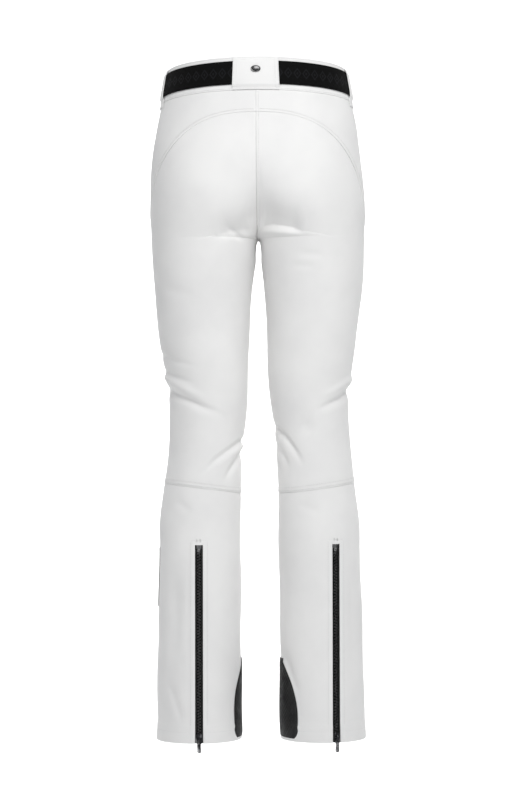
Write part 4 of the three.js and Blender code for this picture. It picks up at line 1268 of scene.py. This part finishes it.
def coil_tape(line, name, place):
    start, end = line.start[0] - 0.5, line.end[0] - 9
    heights = np.linspace(start, end, 90)
    edge, width = COIL_ZIP["tape_edge"], COIL_ZIP["tape_width"]
    reach = np.concatenate([np.linspace(-edge - width, -edge, 9), [0],
                            np.linspace(edge, edge + width, 9)])
    keep = np.ones((len(reach) - 1, len(heights) - 1), bool)
    keep[8:10] = heights[None, 1:] < line.end[0] - 3
    shape = Shape()
    add_sheet(shape, place(heights, reach, TAPE / 2), place(heights, reach, -TAPE / 2), keep)
    shape.make(name, TAPE_CLOTH, replaces=(name,), slot="zip_tape")


def refined(name, body, material, bevel=0.35):
    """A hard piece's CAD solid with its flat faces cleaned and its edges rounded."""
    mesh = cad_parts[name].data.copy()
    mesh.name = name + "_rounded"
    mesh.materials.clear()
    mesh.materials.append(material)
    work = bmesh.new()
    work.from_mesh(mesh)
    bmesh.ops.remove_doubles(work, verts=work.verts, dist=1e-6)
    bmesh.ops.dissolve_limit(work, angle_limit=math.radians(3), verts=work.verts, edges=work.edges)
    sharp = [e for e in work.edges if len(e.link_faces) == 2 and e.calc_face_angle() > 0.45]
    bmesh.ops.bevel(work, geom=sharp, offset=bevel * 0.001, offset_type="OFFSET", segments=2,
                    profile=0.6, affect="EDGES", clamp_overlap=True)
    work.to_mesh(mesh)
    work.free()
    mesh.polygons.foreach_set("use_smooth", np.ones(len(mesh.polygons), bool))
    mesh.set_sharp_from_angle(angle=math.radians(32))
    piece = linked(name + "_visual", mesh)
    return finish_piece(piece, body, (name,))


def zips():
    for side, name in SIDES.items():
        line = LEG_LINES[side]
        outer = int(np.sign(line.u[0] * side))
        leg_tape(side, line, 1, f"{name}_leg_zip_tape_outer")
        leg_tape(side, line, -1, f"{name}_leg_zip_tape_inner")
        teeth(line, outer, f"{name}_leg_zip_teeth_outer")
        teeth(line, -outer, f"{name}_leg_zip_teeth_inner")
        pocket = POCKET_LINES[side]

        def beside_pocket(heights, reach, offset, line=pocket, side=side):
            around = beside(side, heights[None], line.around(heights)[None], reach[:, None])
            return at(side, heights[None], around, offset - CHAIN_DEPTH)

        coil_tape(pocket, f"{name}_pocket_zip_tape", beside_pocket)
        coil_rows(pocket, POCKET_LENGTH, f"{name}_pocket_zip_coil")
        for kind in ("leg", "pocket"):
            runner(f"{name}_{kind}_zip")

    def beside_fly(heights, reach, offset):
        around = around_at_x(1, heights[None], np.abs(reach)[:, None], True)
        hand = np.where(reach < 0, -1, 1)[:, None]
        return at(hand, heights[None], around, offset - CHAIN_DEPTH)

    coil_tape(FLY_LINE, "fly_zip_tape", beside_fly)
    coil_rows(FLY_LINE, FLY_LENGTH - 4, "fly_zip_coil")
    runner("fly_zip")


def runner(name):
    refined(f"{name}_slider", f"{name}_slider", ZIP_METAL, 0.3)
    refined(f"{name}_pull", f"{name}_pull", PULL_METAL, 0.25)


# ---- linings behind the zips and pockets ----

def zip_guard(side, line, name):
    stations = np.array([-1, -0.72, -0.5, 0, 0.5, 0.72, 1])
    depths = np.array([2, 2.6, GUARD_DEPTH, GUARD_DEPTH, GUARD_DEPTH, 2.6, 2])
    reach = np.linspace(-1, 1, 49)
    depth = np.interp(reach, stations, depths)[:, None]
    heights = np.linspace(LEG_ZIP["slider"] + 1, LEG_ZIP["length"] + 9, 100)
    around = beside(side, heights[None], line.around(heights)[None],
                    reach[:, None] * (GUARD_EDGE + 4))
    ripple = 0.25 * np.sin(heights / 5.5)[None] * np.cos(reach * np.pi / 2)[:, None] ** 2
    lining_sheet(name, lambda offset: at(side, heights[None], around,
                                         -depth - 0.6 + ripple - offset))


def lining_sheet(name, place, ring=False):
    shape = Shape()
    add_sheet(shape, place(0.0), place(0.8), ring=ring)
    shape.make(name, LINING, replaces=(name,), slot="lining")


def pocket_bag(side, name):
    stations = [0.665, 0.68, 0.72, 0.76, 0.8, 0.84, 0.88, 0.895]
    drops = [-5, -2, 30, 65, 100, 130, 155, 162]
    a = np.concatenate([np.linspace(0.665, 0.68, 6), np.linspace(0.69, 0.87, 40),
                        np.linspace(0.88, 0.895, 6)])
    d = np.concatenate([np.linspace(-5, -2, 4), np.linspace(1, 152, 46), np.linspace(155, 162, 5)])
    across = np.interp(a, stations, [0, 1, 1, 1, 1, 1, 1, 0])[:, None]
    down = np.interp(d, drops, [0, 1, 1, 1, 1, 1, 1, 0])[None]
    dish = 0.75 + (BAG_DEPTH - 0.75) * np.minimum(across, down)
    crumple = 0.5 * np.sin(d / 9.0)[None] * np.sin(a * 60)[:, None] * across * down
    heights = (INSEAM + POCKET_TOP["height"] - d)[None]
    lining_sheet(name, lambda offset: at(side, heights, a[:, None],
                                         -CHAIN_DEPTH - dish + crumple - offset))


def fly_guard():
    xs = np.linspace(-26, 20, 60)
    depth = np.interp(xs, [-26, -20, -13, 20], [2.4, 2.4, GUARD_DEPTH, GUARD_DEPTH])[:, None]
    heights = np.linspace(FLY_TOP - FLY_LENGTH - 12, FLY_TOP + BAND_HEIGHT - 4, 90)[None]
    around = around_at_x(1, heights, np.abs(xs)[:, None], True)
    hand = np.where(xs < 0, -1, 1)[:, None]
    lining_sheet("fly_guard", lambda offset: at(hand, heights, around, -depth - offset))


# ---- waistband, belt, loops ----

def waistband():
    shares = np.linspace(-0.9985, 0.9985, 420)[:, None]
    width = BAND_HEIGHT - SEAM / 2
    ups = np.concatenate([[0, 0.4, 0.9, 1.6, 2.2, 2.8, 3.6, 4.6], np.linspace(7, 45, 15),
                          width - np.array([4.6, 3.6, 2.8, 2.2, 1.6, 1.0, 0.5, 0.0])])[None]
    heights = band_seam(shares) + SEAM / 2 + ups
    roll = -0.3 * np.exp(-(ups / 0.7) ** 2) - 0.7 * np.exp(-((width - ups) / 0.6) ** 2)
    dips = (-0.28 * np.exp(-((ups - 2.2) / 0.6) ** 2)
            - 0.28 * np.exp(-((width - ups - 2.4) / 0.6) ** 2))
    inner_roll = 0.5 * np.exp(-((width - ups) / 0.6) ** 2)
    shape = Shape()
    add_sheet(shape, waist(shares, heights, BAND_OUTER + roll + dips),
              waist(shares, heights, -BAND_INNER + inner_roll + 0 * shares))
    shape.make("waistband", SHELL, replaces=("waistband",), slot="shell_fabric")
    thread = Shape()
    run = np.linspace(-0.995, 0.995, 500)
    for rise in (2.2, width - 2.4):
        height = band_seam(run) + SEAM / 2 + rise
        stitches(thread, waist(run, height, BAND_OUTER - 0.5),
                 waist(run, height, BAND_OUTER + 0.05))
    thread.make("waistband_stitches", THREAD, slot="shell_fabric")


BELT_OUTSIDE = BAND_OUTER + GAP + BELT_THICKNESS
WIDE_LOOP = 30.0  # loops wider than this have rows of stitches across, the others bartacks


class Loop:
    """A strip that lies on the cloth at both ends and bridges the belt between."""

    def __init__(self, name, centre, width, height, over, flare=0.0):
        self.name, self.centre, self.width, self.height = name, centre, width, height
        self.over, self.flare = over, flare

    def lift(self, depth):
        stations = [0, 2.5, BELT_DROP - 0.5, BELT_DROP + BELT_WIDTH + 0.5, BAND_HEIGHT - 3.5,
                    BAND_HEIGHT - 0.5]
        foot = BAND_OUTER + GAP
        lifts = [foot, foot, self.over, self.over, foot, foot]
        if self.height > BAND_HEIGHT:
            stations += [BAND_HEIGHT + 2, self.height]
            lifts += [BAND_OUTER, BAND_OUTER]
        return np.interp(depth, stations, lifts)

    def place(self, across, depth, offset):
        share = abs(self.centre)
        across = across * (1 + self.flare * (depth / self.height) ** 2)
        run = beside(1, np.array(TOP - BELT_WIDTH), np.array(share), across) - share
        round_share = self.centre + run
        return waist(round_share, band_top(round_share) - depth, self.lift(depth) + offset)

    def edges(self):
        """Distances across the loop, closer near its folded edges."""
        half = self.width / 2
        inner = [0]
        if self.width > WIDE_LOOP:
            inner = np.linspace(-half + 8, half - 8, max(3, int(self.width / 3)))
        near = np.array([0, 0.3, 0.7, 1.2, 1.8, 2.4, 3.2, 4.2, 5.2, 6.2])
        near = near[near < half * 0.9]
        return np.concatenate([-half + near, inner, (half - near)[::-1]])

    def make(self, stitch_lines, bow=0.0):
        across = self.edges()
        half = self.width / 2
        depth = np.concatenate([[0, 0.3, 0.8, 1.5], np.linspace(2.5, self.height - 2.5, 60),
                                self.height - np.array([1.5, 0.8, 0.3, 0.0])])
        edge = np.minimum(half - np.abs(across)[:, None],
                          np.minimum(depth, self.height - depth)[None])
        profile = -0.55 * np.exp(-(edge / 0.5) ** 2)
        for line in stitch_lines:
            profile -= 0.25 * np.exp(-((half - np.abs(across) - line) / 0.55) ** 2)[:, None]
        on_belt = np.interp(depth, [BELT_DROP - 3, BELT_DROP + 5, BELT_DROP + BELT_WIDTH - 5,
                                    BELT_DROP + BELT_WIDTH + 3], [0, 1, 1, 0])[None]
        profile = profile + bow * on_belt * (across[:, None] / half) ** 2
        a, d = np.broadcast_arrays(across[:, None], depth[None])
        shape = Shape()
        add_sheet(shape, self.place(a, d, LOOP_THICKNESS + profile),
                  self.place(a, d, bow * on_belt * (a / half) ** 2))
        shape.make(self.name, SHELL, replaces=(self.name,), slot="shell_fabric")
        self.sew(stitch_lines)

    def sew(self, stitch_lines):
        thread = Shape()
        half = self.width / 2
        depth = np.linspace(1.5, self.height - 1.5, 80)
        for line in stitch_lines:
            for across in (line - half, half - line):
                a = np.full(len(depth), across)
                stitches(thread, self.place(a, depth, LOOP_THICKNESS - 0.45),
                         self.place(a, depth, LOOP_THICKNESS + 0.06))
        if self.width < WIDE_LOOP:
            for depth_at in (1.2, self.height - 3.4):
                ends = self.place(np.array([1.6 - half, half - 1.6]), np.full(2, depth_at),
                                  LOOP_THICKNESS + 0.1)
                down = self.place(np.zeros(2), np.array([depth_at, depth_at + 2.0]), LOOP_THICKNESS)
                bartack(thread, ends[0], down[1] - down[0], ends[1] - ends[0], 16)
        else:
            for depth_at in (2.2, 5.0, self.height - 2.4):
                a = np.linspace(2 - half, half - 2, 60)
                d = np.full(60, depth_at)
                stitches(thread, self.place(a, d, LOOP_THICKNESS - 0.45),
                         self.place(a, d, LOOP_THICKNESS + 0.06))
        thread.make(f"{self.name}_stitches", THREAD, slot="shell_fabric")


def belt():
    level_mm = np.array(TOP - FRONT_DROP - BELT_DROP - BELT_WIDTH / 2)
    start = -float(around_at_x(1, level_mm, BUCKLE_RIGHT + 1, True))
    end = 2 - float(around_at_x(1, level_mm, FREE_END, True))
    flat = BAND_OUTER + GAP + BUCKLE_PLATE + 2 * GAP
    shares = np.linspace(start, end, 620)[:, None]
    across = np.concatenate([[0, 0.3, 0.8, 1.4, 2.2, 3.0], np.linspace(4.5, BELT_WIDTH - 4.5, 22),
                             BELT_WIDTH - np.array([3.0, 2.2, 1.4, 0.8, 0.3, 0.0])])[None]
    heights = band_top(np.where(shares > 1, 2 - shares, shares)) - BELT_DROP - BELT_WIDTH + across
    second = np.where(shares > 1, BELT_THICKNESS + GAP, 0)
    edge = np.minimum(across, BELT_WIDTH - across)
    roll = 0.5 * np.exp(-(edge / 0.5) ** 2)
    selvedge = 0.18 * np.exp(-((edge - 1.9) / 0.8) ** 2)

    def place(offset):
        points = waist(shares, heights, BAND_OUTER + GAP + second + offset)
        ramp = 0.3 * np.maximum(0, np.abs(points[..., 0]) - BUCKLE_RIGHT - 5)
        front = at(1, heights, 1.0)[..., 1] - flat - offset + ramp
        points[..., 1] = np.where(shares > 0.8, np.minimum(points[..., 1], front), points[..., 1])
        return points

    outer, inner = place(BELT_THICKNESS - roll - selvedge), place(0.3 * roll)
    points, faces = shell_of(outer, inner)
    steps = np.linalg.norm(np.diff(outer, axis=0), axis=-1)
    along = np.concatenate([np.zeros((1, outer.shape[1])), np.cumsum(steps, 0)])
    along -= along[np.argmin(np.abs(shares[:, 0]))][None]
    uv = np.stack([along, np.broadcast_to(across - BELT_WIDTH / 2, along.shape)], -1).reshape(-1, 2)
    shape = Shape()
    shape.add(points, faces, np.concatenate([uv, uv]))
    shape.make("belt_strap", BELT_WEB, replaces=("belt_strap",), slot="webbing")


def stud():
    """A plain oval stud with a low dome and a rounded rim."""
    height = TOP - STUD["drop"]
    surface = BELT_OUTSIDE + GAP + LOOP_THICKNESS + GAP
    low, high = (at(1, height + d, 0.0) * [0, 1, 1] for d in (-5, 5))
    w = (high - low) / np.linalg.norm(high - low)
    v = np.array([0, w[2], -w[1]])
    radii = np.array([0, 0.3, 0.55, 0.72, 0.8, 0.86, 0.93, 0.98, 1.0, 1.0, 0.96])
    lifts = np.array([1.45, 1.42, 1.3, 1.12, 1.0, 1.2, 1.32, 1.2, 0.95, 0.3, 0.0])
    turn = np.linspace(0, 2 * np.pi, 49)[:-1]
    radii[0] = 0.01
    u = radii[None] * np.cos(turn)[:, None] * STUD["width"] / 2
    r = radii[None] * np.sin(turn)[:, None] * STUD["height"] / 2
    centre = (low + high) / 2
    points = centre + u[..., None] * [1.0, 0, 0] + r[..., None] * w
    points = points + (surface + lifts)[None, :, None] * v
    n, m = points.shape[:2]
    ids = np.arange(n * m).reshape(n, m)
    ahead = np.roll(ids, -1, 0)
    quads = np.stack([ids[:, :-1], ahead[:, :-1], ahead[:, 1:], ids[:, 1:]], -1).reshape(-1, 4)
    caps = [ids[None, ::-1, 0], ids[None, :, -1]]
    shape = Shape()
    shape.add(points, outward_faces(points.reshape(-1, 3), [quads, *caps]))
    shape.make("back_stud", BLACK_GLOSS, replaces=("back_stud",), slot="black_print", crisp=50)


def belt_pieces():
    waistband()
    belt()
    over = BELT_OUTSIDE + GAP
    doubled = over + BELT_THICKNESS + GAP
    for side, name in SIDES.items():
        Loop(f"{name}_side_loop", SIDE_LOOP_AT * side, LOOP_WIDTH, LOOP_HEIGHT, over,
             LOOP_FLARE).make((1.8,), 1.0)
    Loop("left_front_loop", FRONT_LOOP_AT, LOOP_WIDTH, LOOP_HEIGHT, over).make((1.8,), 0.6)
    Loop("right_front_loop", -FRONT_LOOP_AT, LOOP_WIDTH, LOOP_HEIGHT, doubled).make((1.8,), 0.6)
    Loop("belt_tunnel", 0.0, TUNNEL_WIDTH, TUNNEL_HEIGHT, over).make((1.6, 6.0))
    stud()
    refined("buckle_body", "root", BUCKLE_METAL, 0.4)
    refined("buckle_pin", "root", BUCKLE_METAL, 0.2)
    refined("buckle_lever", "buckle_lever", BUCKLE_METAL, 0.45)
    refined("waist_snap_socket", "root", BUCKLE_METAL, 0.3)
    refined("waist_snap_stud", "root", BUCKLE_METAL, 0.3)


# ---- leg ends ----

def patch_share(height):
    """The kick patch's half width as a share of its widest: rounded above and at its corners."""
    rise = np.clip((height - PATCH["wide"]) / (PATCH["top"] - PATCH["wide"]), 0, 1)
    corner = np.clip(1 - (height - PATCH["bottom"]) / PATCH["corner"], 0, 1)
    return np.maximum(PATCH_TIP, (1 - rise ** 2.2) ** 0.8) - 0.16 * corner ** 2


def patch_around(height, reach):
    return PATCH["reach"] * patch_share(height) * reach


def kick_patch(side, name):
    """The coated patch inside the ankle, with a raised lattice and a flat sewn border."""
    reach = np.linspace(-1, 1, 99)[:, None]
    heights = mix(PATCH["bottom"], PATCH["top"], np.linspace(0, 1, 140)[None]) + 0 * reach
    arounds = patch_around(heights, reach)
    x = arounds * float(girth_step(side, 60.0, 0.0))
    sides = (1 - np.abs(reach)) * patch_share(heights) * PATCH_HALF
    edge = np.minimum(sides, np.minimum(heights - PATCH["bottom"], PATCH["top"] - heights))
    lattice = np.abs(np.sin(np.pi * (x + heights) / 7.0) * np.sin(np.pi * (x - heights) / 7.0))
    raised = 0.35 * ease(lattice, 0.12, 0.4) * ease(edge, 3.0, 4.2)
    rim = -0.7 * np.exp(-(edge / 0.8) ** 2)
    base = folds(side, heights, arounds)
    shape = Shape()
    add_sheet(shape, at(side, heights, arounds, base + GAP + PATCH["thickness"] + raised + rim),
              at(side, heights, arounds, base + GAP))
    shape.make(name, PATCH_COAT, replaces=(name,), slot="kick_patch")
    thread = Shape()
    inset = 2.0
    climb = np.linspace(PATCH["bottom"] + inset, PATCH["top"] - inset, 90)
    across = np.linspace(-1, 1, 30)[1:-1]
    h = np.concatenate([climb, np.full(28, climb[-1]), climb[::-1]])
    r = np.concatenate([np.full(90, -1.0), across, np.full(90, 1.0)])
    a = patch_around(h, r) - np.sign(r) * (np.abs(r) > 0.99) * inset / PATCH_HALF * PATCH["reach"]
    lift = folds(side, h, a) + GAP + PATCH["thickness"]
    stitches(thread, at(side, h, a, lift - 0.3), at(side, h, a, lift + 0.15))
    thread.make(f"{name}_stitches", BLACK_THREAD, slot="kick_patch")


def gaiter(side, line, name):
    arounds = np.linspace(0, 1, 361)[:-1, None]
    heights = np.linspace(GAITER["bottom"], GAITER["top"], 70)[None]
    away = np.abs(arounds - line.around(heights))
    away = np.minimum(away, 1 - away)
    flare = ease(heights, 0.6 * GAITER["top"], GAITER["top"]) * ease(away, 0.08, 0.14)
    depth = mix(GAITER["depth"], CLOTH + 2 * GAP, flare)
    turn = 2 * np.pi * arounds
    gather = 0.5 + 0.5 * np.cos(46 * turn + 2.2 * np.sin(5 * turn) + heights / 60)
    soft = 0.5 + 0.5 * np.cos(11 * turn + heights / 35 + 2 * np.sin(3 * turn))
    ripple = 1.5 * gather * np.exp(-(heights - GAITER["bottom"]) / 16)
    ripple = ripple + 1.6 * soft * (1 - ease(heights, 120, 190)) * ease(heights, 20, 45)

    def place(offset):
        return at(side, heights, arounds, -depth - ripple - offset)

    shape = Shape()
    add_sheet(shape, place(0.0), place(GAITER["thickness"]), ring=True)
    shape.make(name, LINING, replaces=(name,), slot="lining")


def gaiter_elastic(side, name):
    arounds = np.linspace(0, 1, 481)[:-1, None]
    top = GAITER["bottom"] - 0.3
    heights = np.linspace(ELASTIC["bottom"], top, 16)[None]
    edge = np.minimum(heights - ELASTIC["bottom"], top - heights)
    ribs = 0.28 * (0.5 + 0.5 * np.cos(ELASTIC["ribs"] * 2 * np.pi * arounds))
    ripple = ribs + 0.5 * np.exp(-(edge / 0.6) ** 2)
    shape = Shape()
    face = 0.5 - GAITER["depth"]
    add_sheet(shape, at(side, heights, arounds, face - ripple),
              at(side, heights, arounds, face - ELASTIC["thickness"] + ripple), ring=True)
    shape.make(name, ELASTIC_WEB, replaces=(name,), slot="webbing")


def shin_strip():
    arounds = np.linspace(STRIP["from"], STRIP["to"], 24)[:, None]
    heights = np.linspace(STRIP["bottom"], STRIP["top"], 60)[None]
    base = half_folds(1, heights, arounds)
    step = float(girth_step(1, 250.0, 0.55))
    across = np.minimum(arounds - STRIP["from"], STRIP["to"] - arounds) * step
    edge = np.minimum(across, np.minimum(heights - STRIP["bottom"], STRIP["top"] - heights))
    shape = Shape()
    add_sheet(shape, at(1, heights, arounds, base + GAP + 0.6 - 0.45 * np.exp(-(edge / 0.5) ** 2)),
              at(1, heights, arounds, base + GAP))
    shape.make("left_shin_strip", PRINT, replaces=("left_shin_strip",), slot="black_print")


def leg_ends():
    for side, name in SIDES.items():
        kick_patch(side, f"{name}_kick_patch")
        gaiter(side, LEG_LINES[side], f"{name}_snow_gaiter")
        gaiter_elastic(side, f"{name}_gaiter_elastic")
        zip_guard(side, LEG_LINES[side], f"{name}_leg_zip_guard")
        pocket_bag(side, f"{name}_pocket_bag")
    fly_guard()
    shin_strip()


seam_stitches()
zips()
belt_pieces()
leg_ends()


# ---- studio, in metres, millimetres of sensor and lens, and degrees ----

CAMERA = {
    "sensor": 36, "lens": 122.9, "place": (-0.055, 4.2, -0.516), "target": (-0.001, 0.0, -0.516),
    "roll": -0.42,
}
AMBIENT = 0.32


def studio():
    """A pale floor that rises slowly behind the pants, far enough away to walk round them."""
    mesh = bpy.data.meshes.new("studio_sweep")
    curve = [(SWEEP["start"] - SWEEP["depth"] * math.sin(t),
              SWEEP["floor"] + SWEEP["height"] * (1 - math.cos(t)))
             for t in np.linspace(0, math.pi / 2, 30)]
    line = [(SWEEP["front"], SWEEP["floor"])] + curve
    points = [(x, y, z) for y, z in line for x in (-SWEEP["half"], SWEEP["half"])]
    faces = [(2 * i, 2 * i + 1, 2 * i + 3, 2 * i + 2) for i in range(len(line) - 1)]
    mesh.from_pydata(points, [], faces)
    mesh.polygons.foreach_set("use_smooth", np.ones(len(faces), bool))
    sweep = linked("studio_sweep", mesh)
    mesh.materials.append(floor_look())


def area_light(name, place, target, size, power):
    light = bpy.data.lights.new(name, "AREA")
    light.shape = "RECTANGLE"
    light.size, light.size_y = size
    light.energy = power
    lamp = linked(name, light)
    lamp.location = place
    lamp.rotation_euler = (Vector(target) - Vector(place)).to_track_quat("-Z", "Y").to_euler()


def add_camera():
    data = bpy.data.cameras.new("camera")
    data.sensor_fit = "VERTICAL"
    data.sensor_height = CAMERA["sensor"]
    data.lens = CAMERA["lens"]
    camera = linked("camera", data)
    camera.location = CAMERA["place"]
    target = Vector(CAMERA["target"])
    turn = (target - camera.location).to_track_quat("-Z", "Y")
    roll = Quaternion((0, 0, 1), math.radians(CAMERA["roll"]))
    camera.rotation_euler = (turn @ roll).to_euler()
    bpy.context.scene.camera = camera


def world_light():
    world = bpy.data.worlds.new("studio")
    world.use_nodes = True
    background = world.node_tree.nodes["Background"]
    background.inputs["Color"].default_value = (0.96, 0.98, 1, 1)
    background.inputs["Strength"].default_value = AMBIENT
    bpy.context.scene.world = world
    bpy.context.scene.view_settings.view_transform = "Standard"


studio()
add_camera()
world_light()
area_light("key", (-0.35, 2.0, 1.3), (0, 0, 0.0), (1.2, 1.1), 45)
area_light("backdrop", (0.0, -2.6, 3.4), (0, -6.0, -0.8), (7.0, 1.6), 470)
